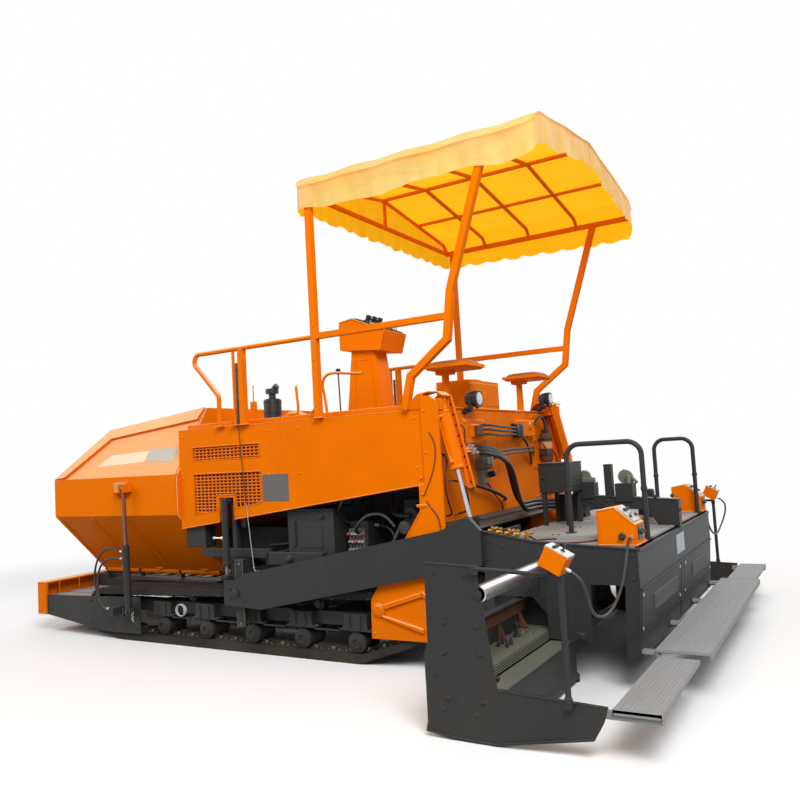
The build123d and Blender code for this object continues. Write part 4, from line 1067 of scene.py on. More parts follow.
upper_grid = merge(bars((1488, 2222), lambda x: (1546, 1649), 43.2, 6, (1204, 1209), True),
                   bars((1545, 1650), lambda z: (1489, 2221), 26.2, 4.6, (1208, 1213), False))
lower_grid = merge(bars((1482, 2218), lambda x: (lower_edge(x) + 2, 1425), 43.2, 6, (1204, 1209),
                        True),
                   *[block(stretch, (1208, 1213), (z - 4.6, z + 4.6), 0.6)
                     for z in np.arange(1113, 1426, 26.2) for stretch in window_rows(z)])
piece("vent_bars", both(merge(upper_grid, lower_grid)), "tractor", "orange_paint", soft=0)

UPPER_RIM = [(1488, 1545), (2222, 1545), (2222, 1650), (1488, 1650)]
LOWER_RIM = [(1482, 1185), (1760, 1148), (1760, 1255), (1962, 1255), (1962, 1125), (2218, 1098),
             (2218, 1426), (1482, 1426)]


def rim(points, width, y):
    """A narrow raised band round an opening: slabs from corner to corner, set off outward."""
    made = []
    flat = np.asarray(points, float)
    for start, end in zip(flat, np.roll(flat, -1, axis=0)):
        way = (end - start) / np.linalg.norm(end - start)
        out = np.array([way[1], -way[0]]) * width
        near, far = start - way * width * 0.5, end + way * width * 0.5
        made.append(plate([near, far, far + out, near + out], *y, "y", 0.8))
    return merge(*made)


panel_trim = merge(rim(UPPER_RIM, 9, (1219, 1223)), rim(LOWER_RIM, 9, (1219, 1223)))
door_bolts = copies(bolt(8), [(x, 1219, z) for x in (60, 1100, 1400, 2340)
                              for z in (1400, 1745)], (0, 1, 0))
piece("vent_rims", both(panel_trim), "tractor", "orange_paint")
piece("panel_bolts", both(door_bolts), "tractor", "orange_paint")
piece("panel_blank_plate", both(block((1210, 1470), (1219, 1222), (1190, 1402), 1.2)), "tractor",
      "blank_grey")
top_lip = block((6, 2371), (1196, 1222), (1803, 1808), 1.5)
bottom_lip = plate([(2377, 972), (1940, 1028), (1940, 1036), (2377, 980)], 1192, 1222, "y", 1.5)
long_lip = plate([(0, 1279), (1785, 1048), (1785, 1056), (0, 1287)], 1192, 1222, "y", 1.5)
piece("panel_lips", both(merge(top_lip, bottom_lip, long_lip)), "tractor", "orange_paint")

# %% [markdown]
# ### Under the panel
# The bay below the long panel shows the oil tank, the valve block and a tangle of pipes. Pipes
# are the smooth line and the tube again, with other routes.

# %% Engine bay
def pipe(route, radius, sides=10):
    """A pipe along a route in the machine's millimetres."""
    return tube(smooth_line(at(route), 5), radius / 1000, sides)


tank_cap = merge(copies(lathe([(52, 0), (52, 10), (40, 14), (40, 26), (46, 28), (46, 44), (38, 50),
                               (10, 51)], 28),
                        [(1180, 960, 1120)]),
                 copies(lathe([(22, 0), (22, 8), (16, 10), (16, 22), (4, 24)], 18),
                        [(960, 1149, 1060)], (0, 1, 0)))
tank_rims = merge(*[rim([(862, z), (1278, z), (1278, z + 6), (862, z + 6)], 3, (1149, 1154))
                    for z in (752, 1102)])
tank_plate = block((960, 1180), (1149, 1154), (820, 1010), 2)
sight = merge(block((1214, 1236), (1149, 1162), (830, 1030), 4),
              copies(bolt(9), [(1225, 1160, z) for z in (842, 1018)], (0, 1, 0)))
tank_bolts = copies(bolt(8), [(x, 1152, z) for x in (975, 1070, 1165) for z in (835, 995)],
                    (0, 1, 0))
piece("tank_fittings", merge(tank_cap, tank_rims, tank_plate, tank_bolts), "tractor", "dark_paint")
piece("tank_sight", sight, "tractor", "dark_paint")

valve_bodies = merge(*[block((648 + 30 * k, 672 + 30 * k), (1000, 1040), (760, 960), 3)
                       for k in range(5)])
valve_ports = copies(lathe([(13, 0), (13, 10), (9, 11), (9, 24), (3, 25)], 6),
                     [(660 + 30 * k, 1040, z) for k in range(5) for z in (800, 860, 920)],
                     (0, 1, 0))
red_caps = copies(lathe([(12, 0), (12, 14), (8, 18), (3, 19)], 14),
                  [(660, 1062, 920), (720, 1062, 860), (780, 1062, 920)], (0, 1, 0))
piece("valve_spools", valve_bodies, "tractor", "cast_grey")
piece("valve_ports", valve_ports, "tractor", "zinc")
piece("valve_caps", red_caps, "tractor", "red_cap")
bay_pipes = merge(
    pipe([(800, 960, 980), (850, 1000, 1010), (850, 1090, 1090), (790, 1110, 1180),
          (700, 1100, 1240), (560, 1100, 1240)], 13),
    pipe([(690, 1040, 920), (690, 1110, 940), (640, 1140, 1000), (560, 1150, 1060),
          (470, 1150, 1080), (380, 1140, 1060), (330, 1120, 980)], 12),
    pipe([(690, 1040, 800), (690, 1090, 770), (620, 1120, 740), (500, 1130, 745), (400, 1120, 800),
          (350, 1100, 880), (330, 1060, 960)], 12),
    pipe([(1300, 900, 880), (1360, 900, 870), (1430, 930, 840), (1500, 960, 820), (1620, 980, 820)],
         16),
    pipe([(1300, 980, 800), (1380, 980, 790), (1480, 1010, 770), (1600, 1060, 760),
          (1680, 1120, 770)], 11),
    pipe([(560, 780, 1240), (520, 800, 1180), (500, 860, 1100), (470, 900, 1060), (400, 930, 1040),
          (300, 940, 1040)], 20))
piece("bay_pipes", bay_pipes, "tractor", "hose_rubber")
pump = merge(copies(lathe([(95, 0), (95, 30), (80, 34), (80, 120), (60, 130), (60, 190), (30, 196)],
                          28),
                    [(330, 700, 1040)], (0, 1, 0)),
             copies(lathe([(60, 0), (60, 20), (48, 24), (48, 110), (20, 116)], 24),
                    [(330, 880, 960)], (0, 1, 0)),
             block((180, 480), (640, 720), (935, 1150), 8),
             block((230, 430), (660, 860), (935, 1000), 6))
pump_bolts = copies(bolt(10), [(330 + 78 * math.cos(a), 728, 1040 + 78 * math.sin(a))
                               for a in np.linspace(0, 2 * np.pi, 8, endpoint=False)], (0, 1, 0))
piece("pumps", merge(pump, pump_bolts), "tractor", "cast_grey")
ribs = [block((1000 + 100 * k, 1024 + 100 * k), (379, 396), (1010, 1600), 3) for k in range(10)]
sump = [block((1000, 2000), (270, 300), (940, 990), 6)]
manifold = [pipe([(1050 + 230 * k, 380, 1500), (1050 + 230 * k, 460, 1500),
                  (1080 + 230 * k, 500, 1470), (1180 + 230 * k, 520, 1450)], 28, 14)
            for k in range(4)]
header = pipe([(1100, 520, 1450), (1400, 521, 1452), (1700, 520, 1451), (1950, 500, 1470),
               (2000, 420, 1540)], 42, 16)
piece("engine_ribs", merge(*ribs, *sump), "tractor", "cast_grey")
piece("engine_manifold", merge(*manifold, header), "tractor", "rust")
fuel_bands = merge(*[block((x, x + 40), (-1153, -1149), (705, 1128), 1) for x in (720, 1330)],
                   *[block((x, x + 40), (-1153, -690), (1129, 1133), 1) for x in (720, 1330)])
fuel_cap = copies(lathe([(60, 0), (60, 12), (48, 16), (48, 40), (40, 46), (8, 47)], 28),
                  [(1050, -1060, 1130)])
piece("fuel_tank_fittings", merge(fuel_bands, fuel_cap), "tractor", "dark_paint")
print("panels and bay dressed")

# %% [markdown]
# ## The tracks
# A track is one loop that runs round a sprocket, an idler and the ground. Its line is the hull of
# four circles: in every direction the outermost circle gives one point. The line is then walked
# at even steps, one shoe to a step, and the same link is copied there, turned with the line.

# %% Track loop
# Places along the machine and heights: the driven wheel, the idler, and the rows of rollers.
SPROCKET, IDLER = (280, 330), (3420, 245)
BOTTOM_ROLLERS, CARRIERS = (690, 1195, 1700, 2205, 2710), (1060, 2400)
WHEELS = [(*SPROCKET, 200), (*IDLER, 200), (650, 130, 130), (3180, 130, 130)]  # with their radius
SHOE_PITCH = 165


def track_line(inset):
    """Even steps round the loop at a depth under its outside: the place and the way of each."""
    wheels = np.array(WHEELS, float)
    turn = np.linspace(0, 2 * np.pi, 721)
    way = np.column_stack([np.cos(turn), np.sin(turn)])
    reach = way @ wheels[:, :2].T + wheels[:, 2]
    which = np.argmax(reach, axis=1)
    outer = wheels[which, :2] + way * wheels[which, 2:]
    along = np.concatenate([[0], np.cumsum(np.linalg.norm(np.diff(outer, axis=0), axis=1))])
    count = round(along[-1] / SHOE_PITCH)
    steps = (np.arange(count) + 0.5) * along[-1] / count
    spot = np.column_stack([np.interp(steps, along, axis) for axis in outer.T])
    ahead = np.column_stack([np.interp((steps + 4) % along[-1], along, axis) for axis in outer.T])
    tangent = (ahead - spot) / np.linalg.norm(ahead - spot, axis=1, keepdims=True)
    normal = np.column_stack([tangent[:, 1], -tangent[:, 0]])
    return spot - normal * inset, tangent, normal


def around_loop(shape, inset=0.0, half_step=False):
    """Copies of a shape round the loop. Its X runs along the loop, Z points out, Y is across."""
    points, faces = shape
    spot, tangent, normal = track_line(inset)
    if half_step:
        spot = (spot + np.roll(spot, -1, axis=0)) / 2
        tangent = tangent + np.roll(tangent, -1, axis=0)
        tangent /= np.linalg.norm(tangent, axis=1, keepdims=True)
        normal = np.column_stack([tangent[:, 1], -tangent[:, 0]])
    plane = (spot[:, None] + points[None, :, :1] * tangent[:, None]
             + points[None, :, 2:] * normal[:, None])
    placed = np.stack([plane[..., 0], np.broadcast_to(points[None, :, 1], plane.shape[:2]),
                       plane[..., 1]],
                      axis=-1)
    starts = np.arange(len(spot)) * len(points)
    return at(placed.reshape(-1, 3)), [(np.asarray(face) + start).tolist() for start in starts
                                       for face in faces]


def local_block(x, y, z, bevel=2.0):
    """A bevelled box in a shape's own millimetres."""
    return slab([(x[0], y[0]), (x[1], y[0]), (x[1], y[1]), (x[0], y[1])], *z, "z", bevel)


LINK = [(-84, -52), (-52, -44), (0, -40), (52, -44), (84, -52), (84, -78), (48, -86), (-48, -86),
        (-84, -78)]
links = [slab(LINK, *across, "y", 2) for across in ((1012, 1030), (1080, 1098))]
track_pin = copies(lathe([(19, 0), (19, 104), (15, 108), (4, 109)], 14), [(0, 0, 0)], (0, 1, 0))
pin_points = track_pin[0] * 1000 + np.array([MID * 1000, 1002, -65])
shoe_bolts = merge(*[(points * 1000 + (MID * 1000, 0, 0), faces) for points, faces in
                     [copies(bolt(11), [(x, y, -56)], (0, 0, -1)) for x in (-34, 34)
                      for y in (1022, 1090)]])
shoe_edge = merge(local_block((-70, 70), (1206, 1216.5), (-24, -3), 3),
                  local_block((-70, 70), (893.5, 904), (-24, -3), 3))
track_links = merge(around_loop(merge(*links)), around_loop(shoe_edge, 0.5))
for side, sign in SIDES.items():
    shape = track_links if sign > 0 else flip(track_links)
    piece(f"track_links_{side}", shape, "tractor", "track_rubber")
    pins = merge(around_loop((pin_points, track_pin[1]), half_step=True), around_loop(shoe_bolts))
    piece(f"track_pins_{side}", pins if sign > 0 else flip(pins), "tractor", "bare_steel")
print("shoes:", len(track_line(0)[0]))

# %% [markdown]
# ### Rollers and yokes
# Toothed wheels are a ring whose radius goes up and down with the angle. The hat-shaped yokes
# over the rollers are cast, so they get ribs, a flange and a row of bolts.

# %% Rollers and yokes
def toothed(teeth, root, tip, low, high):
    """A sprocket ring: four points a tooth, two at the tip and two at the root."""
    turn = (np.arange(teeth * 4) + 0.5) * 2 * np.pi / (teeth * 4)
    radius = np.where(np.arange(teeth * 4) % 4 < 2, tip, root)
    outline = np.column_stack([radius * np.cos(turn), radius * np.sin(turn)])
    return slab(outline, low, high, "z", 2)


teeth = copies(toothed(15, 122, 140, 1032, 1078), [(SPROCKET[0], 0, SPROCKET[1])], (0, 1, 0))
hub_steps = [(104, 0), (104, 16), (88, 22), (66, 24), (66, 40), (54, 44), (20, 45)]
hubs = copies(lathe(hub_steps, 32), [(x, 1124, z) for x, z in (SPROCKET, IDLER)], (0, 1, 0))
hub_bolts = copies(bolt(9), [(x + 84 * math.cos(a), 1142, z + 84 * math.sin(a))
                             for x, z in (SPROCKET, IDLER)
                             for a in np.linspace(0, 2 * np.pi, 8, endpoint=False)], (0, 1, 0))
roller_ends = copies(lathe([(70, 0), (70, 6), (58, 9), (44, 9), (44, 16), (30, 19), (28, 8),
                            (8, 9)], 28),
                     [(x, 1149, 135) for x in BOTTOM_ROLLERS], (0, 1, 0))
piece("track_teeth", both(teeth), "tractor", "bare_steel")
piece("track_hubs", both(merge(hubs, hub_bolts, roller_ends)), "tractor", "dark_paint")

hat_line = [(-142, 222), (142, 222), (142, 238), (112, 242), (92, 330), (80, 347), (-80, 347),
            (-92, 330), (-112, 242), (-142, 238)]
hat_face = slab(hat_line, 1163, 1172, "y", 2)
hat_rib = slab([(-9, 240), (9, 240), (7, 340), (-7, 340)], 1168, 1184, "y", 2)
hat_ribs = [(hat_rib[0] + (x, 0, 0), hat_rib[1]) for x in (-48, 48)]
hat_points, hat_faces = merge(hat_face, *hat_ribs)
yoke_fronts = merge(*[(at(hat_points + (x, 0, 0)), hat_faces) for x in BOTTOM_ROLLERS])
yoke_bolts = copies(bolt(9), [(x + dx, y, 236) for x in BOTTOM_ROLLERS for dx in (-126, 126)
                              for y in (975, 1135)])
tie_bars = merge(*[block((low, high), (1168, 1180), (214, 226), 2)
                   for low, high in ((835, 1052), (1340, 1558), (1846, 2062), (2350, 2568))])
carriers = copies(lathe([(44, 0), (44, 60), (30, 64), (30, 80), (12, 82)], 24),
                  [(x, 1040, 392) for x in CARRIERS], (0, 1, 0))
brackets = merge(*[block((x - 20, x + 20), (1010, 1044), (340, 400), 3) for x in CARRIERS])
piece("track_yokes", both(merge(yoke_fronts, tie_bars, brackets)), "tractor", "dark_paint")
piece("yoke_bolts", both(yoke_bolts), "tractor", "bare_steel")
piece("carrier_rollers", both(carriers), "tractor", "dark_paint")
coil_turn = np.linspace(0, 2 * np.pi * 2.6, 90)
coil = np.column_stack([2455 + (52 + 5 * np.sin(coil_turn * 0.7)) * np.cos(coil_turn),
                        1182 + coil_turn * 1.1, 288 + 48 * np.sin(coil_turn)])
piece("grease_line", both(tube(at(coil), 0.006, 8)), "tractor", "light_grey")
print("tracks dressed")

# %% [markdown]
# ## Tow arms, leveling rams and side plates
# The leveling ram sets the height of the arm's front end, and with it how steeply the screed
# meets the mix. What it carries is small: a port, a gland, a pointer that hangs beside it. The
# plate behind the tracks is stiffened by two ribs that spread from one boss.

# %% Arms, leveling rams, side plates
arm_bolts = copies(bolt(11), [(1796, 1290, 440), (1797, 1290, 512), (1639, 1290, 428)], (0, 1, 0))
arm_weld = pipe([(-345, 1252, 969), (-385, 1252, 968), (-424, 1252, 966)], 5, 8)
lift_pins = [copies(lathe([(22, 0), (22, 6), (18, 9), (6, 10)], 20), [(-300, y, 1020)], (0, way, 0))
             for y, way in ((1202, 1), (1118, -1))]
piece("arm_fittings", both(merge(arm_bolts, arm_weld, *lift_pins)), "screed", "dark_paint")

ram_caps = merge(
    copies(lathe([(27, -4), (31, 0), (31, 26), (27, 30)], 24), [(1840, 1266, 690)]),
    copies(lathe([(27, -4), (29, 0), (29, 8), (22, 16), (6, 17)], 24), [(1840, 1266, 1208)]),
    block((1812, 1868), (1236, 1296), (588, 616), 4))
ram_port = copies(lathe([(13, 0), (13, 20), (8, 22), (8, 86), (12, 90), (12, 108), (4, 110)], 12),
                  [(1864, 1266, 908)], (1, 0, 0))
tow_head = copies(lathe([(32, 0), (32, 5), (27, 9), (10, 10)], 24), [(1732, 1298, 475)], (0, 1, 0))
pointer = merge(pipe([(1642, 1231, 1180), (1626, 1234, 1079), (1602, 1237, 870), (1580, 1237, 672)],
                     3.6, 8),
                pipe([(1580, 1237, 676), (1577, 1237, 652), (1556, 1237, 640), (1535, 1237, 652)],
                     4.4, 8),
                copies(knob(9, 20), [(1580, 1237, 660)]))
post_bolts = merge(copies(bolt(9), [(1733, 1243, 226), (1733, 1243, 700), (1832, 1243, 640)],
                          (0, 1, 0)),
                   rim([(1696, 214), (1769, 214), (1769, 728), (1696, 728)], 4, (1243, 1247)))
piece("leveling_trim", both(merge(ram_caps, tow_head)), "tractor", "dark_paint")
ram_shine = copies(lathe([(14.3, 0), (14.9, 1), (14.9, 70), (14.3, 71)], 20), [(1840, 1266, 617)])
piece("leveling_rod", both(ram_shine), "tractor", "bare_steel")
piece("leveling_ports", both(merge(ram_port, pointer)), "tractor", "zinc")
piece("guide_post_trim", both(post_bolts), "tractor", "green_grey")
shelf_rail = merge(block((940, 1480), (1153, 1190), (690, 792), 4),
                   block((1480, 2200), (1130, 1165), (738, 812), 4),
                   block((1470, 1492), (1130, 1190), (690, 800), 3),
                   block((2150, 2366), (1060, 1180), (820, 1000), 5))
rail_lump = copies(lathe([(30, 0), (30, 8), (22, 12), (22, 26), (14, 30), (4, 31)], 20),
                   [(1251, 1188, 742)], (0, 1, 0))
piece("bay_rails", both(merge(shelf_rail, rail_lump)), "tractor", "dark_paint")

rib_up = plate([(400, 440), (372, 412), (66, 512), (66, 545)], 1236, 1256, "y", 3)
rib_down = plate([(404, 372), (380, 350), (66, 262), (66, 294)], 1236, 1256, "y", 3)
rib_tip = plate([(66, 512), (66, 552), (40, 530), (-60, 470), (-60, 440)], 1236, 1250, "y", 3)
boss_rings = copies(lathe([(52, 0), (52, 5), (44, 9), (38, 9), (34, 13), (16, 14)], 28),
                    [(425, 1244, 404)], (0, 1, 0))
plate_bolts = copies(bolt(8),
                     [(x, 1237, z) for x, z in ((20, 1215), (20, 1330), (-28, 1500), (-28, 1790),
                                                (470, 240),
                                                         (30, 240))], (0, 1, 0))
plate_edges = merge(plate([(492, 466), (428, 566), (190, 800), (190, 895), (45, 1105), (45, 1275),
                           (33, 1275), (33, 1101), (178, 891), (178, 795), (418, 558), (480, 462)],
                          1236, 1242, "y", 1.5))
hook = block((-8, 70), (1236, 1245), (1126, 1146), 2)
piece("side_plate_ribs",
      both(merge(rib_up, rib_down, rib_tip, boss_rings, plate_bolts, plate_edges, hook)), "tractor",
      "orange_paint")
red_lines = merge(pipe([(-60, 1241, 1640), (-95, 1241, 1590), (-104, 1241, 1500), (-86, 1241, 1400),
                        (-40, 1241, 1290), (10, 1241, 1200)], 4, 8),
                  pipe([(-10, 1241, 1170), (-40, 1241, 1120), (-92, 1241, 1070), (-110, 1241, 980),
                        (-100, 1241, 900)], 4, 8))
piece("grease_lines", both(red_lines), "tractor", "dark_red_rubber")
print("arms and side plates dressed")

# %% [markdown]
# ## The front: chassis, bumper and push rollers
# The truck's tyres push against two free rollers. Rollers, bumper and deck are plain from afar,
# so their depth comes from rims, bolt rows, rubber buffers and the lightening slots in the plate,
# whose dark is a painted shade sheet.

# %% Front chassis, bumper, push rollers
deck_strips = merge(*[block((3680, 4186), (y, y + 10), (346, 353), 1.5)
                      for y in (700, 870, 1040, 1196)])
front_bolts = copies(bolt(11),
                     [(x, 1237, z) for x, z in ((2950, 110), (2950, 330), (3560, 150), (3560, 330),
                                                          (4130, 215), (4130, 310))], (0, 1, 0))
slot_rim = rim([(3212, 206), (3392, 222), (3392, 244), (3212, 230)], 6, (1236, 1241))
lug_pins = merge(copies(bolt(17), [(3013, 1310, 270)], (1, 0, 0)),
                 copies(bolt(17), [(2917, 1310, 270)], (-1, 0, 0)))
chain = merge(*[copies(lathe([(8, -3), (11, 0), (8, 3), (5, 3), (5, -3)], 12),
                       [(2902, 1322 + 3 * (k % 2), 262 - 15 * k)], (k % 2, 1 - k % 2, 0))
                for k in range(5)])
piece("chassis_trim", both(merge(deck_strips, front_bolts, slot_rim, lug_pins)), "tractor",
      "dark_paint")
piece("pin_chain", both(chain), "tractor", "zinc")
# Painted shade: a thin near-black plate inside the slot's rim stands in for the dark of the hole.
piece("chassis_slot_shade",
      both(plate([(3212, 206), (3392, 222), (3392, 244), (3212, 230)], 1237, 1239.5, "y", 0.5)),
      "tractor", "dark_hole")
end_plates = both(rim([(4196, 178), (4304, 178), (4304, 462), (4196, 462)], 8, (1247, 1254)))
beam_ribs = merge(*[block((4188, 4196), (y, y + 8), (183, 457), 1.5)
                    for y in np.arange(-1100, 1101, 220)])
beam_bolts = copies(bolt(12),
                    [(4308, y, z) for y in (-1180, -1080, -900, -700, -560, -60, 60, 560, 700, 900,
                                            1080, 1180)
                               for z in (205, 435)], (1, 0, 0))
top_cap = block((4192, 4308), (-1244, 1244), (469, 475), 2)
tow_eye = merge(block((4305, 4322), (-70, 70), (395, 462), 4),
                block((4318, 4372), (-50, -30), (402, 456), 4),
                block((4318, 4372), (30, 50), (402, 456), 4))
tow_pin = copies(lathe([(15, -8), (15, 118), (20, 119), (20, 128), (6, 130)], 18),
                 [(4352, -60, 430)], (0, 1, 0))
piece("bumper_trim", merge(end_plates, beam_ribs, beam_bolts, top_cap, tow_eye), "tractor",
      "orange_paint")
piece("bumper_pin", tow_pin, "tractor", "bare_steel")
buffers = both(merge(*[block((4306, 4334), (y, y + 130), (196, 446), 12) for y in (820, 1080)]))
piece("bumper_buffers", buffers, "tractor", "apron_rubber")
roller_steps = [(22, 0), (71, 0), (79.6, 6), (79.6, 34), (77, 38), (77, 658), (79.6, 662),
                (79.6, 690), (71, 696), (22, 696)]
grooves = merge(*[copies(lathe([(75, 0), (79.8, 3), (79.8, 11), (75, 14)], 32), [(4400, y, 330)],
                         (0, 1, 0))
                  for y in (190, 330, 470, 590)])
roller = merge(copies(lathe(roller_steps, 40), [(4400, 42, 330)], (0, 1, 0)), grooves)
either("push_roller_drum", roller, "push_roller", "bare_steel")
for side in SIDES:
    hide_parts(f"push_roller_{side}")
bracket_bolts = copies(bolt(13), [(4438, y, 330) for y in (-760, -20, 20, 760)], (1, 0, 0))
bracket_rims = merge(*[block((4300, 4436), (y - 15, y + 15), (z, z + 6), 1.5)
                       for y in (-760, -20, 20, 760)
                       for z in (286, 368)])
piece("roller_brackets", merge(bracket_bolts, bracket_rims), "tractor", "orange_paint")
flap_bars = merge(block((4032, 4042), (-596, 596), (596, 618), 2),
                  copies(bolt(9), [(4033, y, 607) for y in
                                                                                    np.arange(-540,
                                                                                              541,
                                                                                              180)],
                         (-1, 0, 0)))
piece("flap_bar", flap_bars, "tractor", "dark_paint")
print("front dressed")

# %% [markdown]
# ## The operator's platform
# The floor is tread plate with hatches, each one with a rim, hinges and a lifting ring. The
# console's slanted top holds the levers and gauges. The seats' pads are soft: their outline is
# a rounded square, filled to a crown that sinks a little in the middle.

# %% Platform top
DECK, POST_X = 1790, 875


def hatch(x, y):
    """A lid with a rim, two hinges and a ring, flat on the deck."""
    lid = block(x, y, (DECK - 1, DECK + 6), 2)
    hinges = merge(*[block((x[0] - 14, x[0] + 26), (spot - 30, spot + 30), (DECK, DECK + 12), 3)
                     for spot in (y[0] + 80, y[1] - 80)])
    ring_turn = np.linspace(0, 2 * np.pi, 25)
    ring = np.column_stack([x[1] - 60 + 26 * np.cos(ring_turn), np.mean(y) + 26 * np.sin(ring_turn),
                            np.full(25, DECK + 10)])
    return merge(lid, hinges, tube(at(ring), 0.005, 8))


lids = merge(hatch((300, 800), (-560, 200)), hatch((1180, 1560), (-600, 500)),
             hatch((1600, 2240), (-640, 620)), hatch((1180, 1540), (660, 1100)))
piece("deck_lids", lids, "tractor", "orange_paint")
tread = merge(block((20, 290), (-1140, 1140), (DECK - 1, DECK + 3), 1),
              block((810, 1170), (-1140, 1140), (DECK - 1, DECK + 3), 1),
              block((295, 805), (560, 1140), (DECK - 1, DECK + 3), 1),
              block((295, 805), (-1140, -600), (DECK - 1, DECK + 3), 1))
piece("deck_tread", tread, "tractor", "step_grey")
toe = merge(block((10, 2330), (1150, 1158), (DECK, DECK + 60), 2),
            block((10, 2330), (-1158, -1150), (DECK, DECK + 60), 2))
piece("toe_boards", toe, "tractor", "orange_paint")

PANEL_LOW, PANEL_HIGH, PANEL_LENGTH = (655, 2527), (955, 2660), 328.2
SLANT = np.array([PANEL_HIGH[0] - PANEL_LOW[0], 0.0, PANEL_HIGH[1] - PANEL_LOW[1]]) / PANEL_LENGTH
UP_SLANT = np.array([-SLANT[2], 0, SLANT[0]])


def on_panel(along, y, off=0.0):
    """A point on the console's slanted top: so far up the slant, across, and off it."""
    spot = np.array([PANEL_LOW[0], 0, PANEL_LOW[1]]) + SLANT * along + UP_SLANT * off
    return spot[0], y, spot[2]


face_ring = [on_panel(a, 0, o) for a, o in ((8, 1), (320, 1), (320, 6), (8, 6))]
panel_face = plate([(p[0], p[2]) for p in face_ring], 265, 585, "y", 1)
knob_places = [on_panel(290, y, 5)
               for y in (290, 350, 410)] + [on_panel(60, 530, 5), on_panel(60, 400, 5)]
knobs = copies(knob(19, 34), knob_places, UP_SLANT)
lever_grips = merge(copies(knob(24, 62), [on_panel(230, y, 5) for y in (330, 420, 510)], UP_SLANT),
                    copies(lathe([(34, 0), (30, 10), (18, 22), (10, 26)], 16),
                           [on_panel(230, y, 5) for y in (330, 420, 510)], UP_SLANT))
gauges = copies(lathe([(38, 0), (38, 8), (34, 11), (31, 8), (4, 7)], 28),
                [on_panel(150, y, 5) for y in (330, 430, 530)], UP_SLANT)
switches = copies(lathe([(7, 0), (7, 5), (4, 6), (5, 22), (2, 24)], 10),
                  [on_panel(60, y, 5) for y in np.arange(300, 580, 34)], UP_SLANT)
piece("console_face", panel_face, "tractor", "dark_paint")
piece("console_knobs", merge(knobs, lever_grips), "tractor", "black_plastic")
piece("console_gauges", gauges, "tractor", "light_grey")
piece("console_switches", switches, "tractor", "zinc")
door = rim([(790, 1900), (990, 1900), (960, 2300), (815, 2300)], 5, (559, 564))
foot_plate = merge(block((680, 1100), (350, 580), (DECK, DECK + 12), 3),
                   copies(bolt(10), [(x, y, DECK + 12) for x in (700, 1080) for y in (370, 560)]))
CHEEK = [(1090, 2400), (1090, 2640), (960, 2660), (640, 2520), (690, 2360), (702, 2372),
         (660, 2516), (962, 2646), (1078, 2630), (1078, 2400)]
cheeks = [plate(CHEEK, *across, "y", 2) for across in ((592, 604), (246, 258))]
piece("console_edges", merge(door, foot_plate, *cheeks), "tractor", "orange_paint")


def cushion(x, y, z, thick, crown):
    """A pad with a rounded square outline: |u|^4 + |v|^4 = 1 scaled by rings, and a height of
    thick times a soft edge, plus a crown and a shallow hollow where one sits."""
    sides = 56
    turn = np.linspace(0, 2 * np.pi, sides, endpoint=False)
    cos, sin = np.cos(turn), np.sin(turn)
    outline = np.stack([cos, sin]) / (cos ** 4 + sin ** 4) ** 0.25
    share = np.sqrt(np.linspace(0, 1, 12))[1:][::-1]
    half = np.array([(x[1] - x[0]) / 2, (y[1] - y[0]) / 2])
    middle = np.array([(x[1] + x[0]) / 2, (y[1] + y[0]) / 2])
    flat = middle + share[:, None, None] * outline.T[None] * half
    height = (z + thick * (1 - share ** 6) ** 0.5 + crown * np.sin(np.pi * share)
              - crown * 0.4 * (1 - share))
    upper = np.dstack([flat, np.broadcast_to(height[:, None], flat.shape[:2])])
    lower = upper[:1].copy()
    lower[..., 2] = z - 3
    under = lower.copy()
    under[..., :2] = middle + (under[..., :2] - middle) * 0.95
    points = np.concatenate([under, lower, upper]).reshape(-1, 3)
    faces = grid_faces(len(share) + 2, sides, around=True)
    faces += [list(range(sides))[::-1], list(range(len(points) - sides, len(points)))]
    return at(points), faces


for side, sign in SIDES.items():
    shape = cushion((-206, 126), (574, 906), 2147, 24, 5)
    pad_piece = piece(f"seat_pad_{side}", shape if sign > 0 else flip(shape), "tractor",
                      "seat_cover", soft=50)
seat_trim = merge(copies(lathe([(34, 0), (34, 40), (30, 44), (30, 120), (34, 124), (34, 128)], 20),
                         [(40, 740, 1802)]),
                  copies(bolt(8), [(x, y, 1801) for x in (14, 106) for y in (685, 795)]),
                  block((-196, 116), (584, 896), (2108, 2122), 4),
                  block((-20, 100), (690, 790), (2080, 2110), 4))
piece("seat_mounts", both(seat_trim), "tractor", "orange_paint")
can_bands = copies(lathe([(75, 0), (78, 2), (78, 10), (75, 12)], 36),
                   [(1640, 850, z) for z in (1820, 1905, 1996)])
can_top = merge(copies(lathe([(74, -6), (74, 0), (60, 12), (32, 16)], 36), [(1640, 850, 2018)]),
                tube(at([(1640, 850, 2075), (1632, 848, 2098), (1612, 846, 2122),
                         (1588, 844, 2138)]), 0.026, 16))
piece("air_cleaner_trim", merge(can_bands, can_top), "tractor", "black_plastic")
thin_posts = merge(block((1604, 1650), (1090, 1120), (DECK, 2000), 4),
                   pipe([(1627, 1105, 2000), (1627, 1105, 2060), (1625, 1105, 2130)], 5, 8),
                   pipe([(1190, 1100, 1795), (1170, 1100, 1900), (1180, 1100, 1990),
                         (1186, 1100, 2084)], 11, 10),
                   pipe([(1080, 1100, 1800), (1050, 1100, 1856), (1010, 1100, 1890)], 11, 10),
                   pipe([(1330, 1080, 1800), (1300, 1080, 1862), (1220, 1080, 1870),
                         (1130, 1090, 1850), (1050, 1090, 1800)], 24, 12))
piece("deck_posts", thin_posts, "tractor", "orange_paint")
loop_rail = pipe([(890, 1100, 1790), (905, 1100, 1960), (935, 1100, 2085), (880, 1100, 2155),
                  (780, 1095, 2150), (664, 1090, 2133), (560, 1090, 2125)], 11, 12)
far_loop = pipe([(560, -1150, 1790), (560, -1150, 2150), (640, -1150, 2210), (760, -1150, 2206)],
                11, 12)
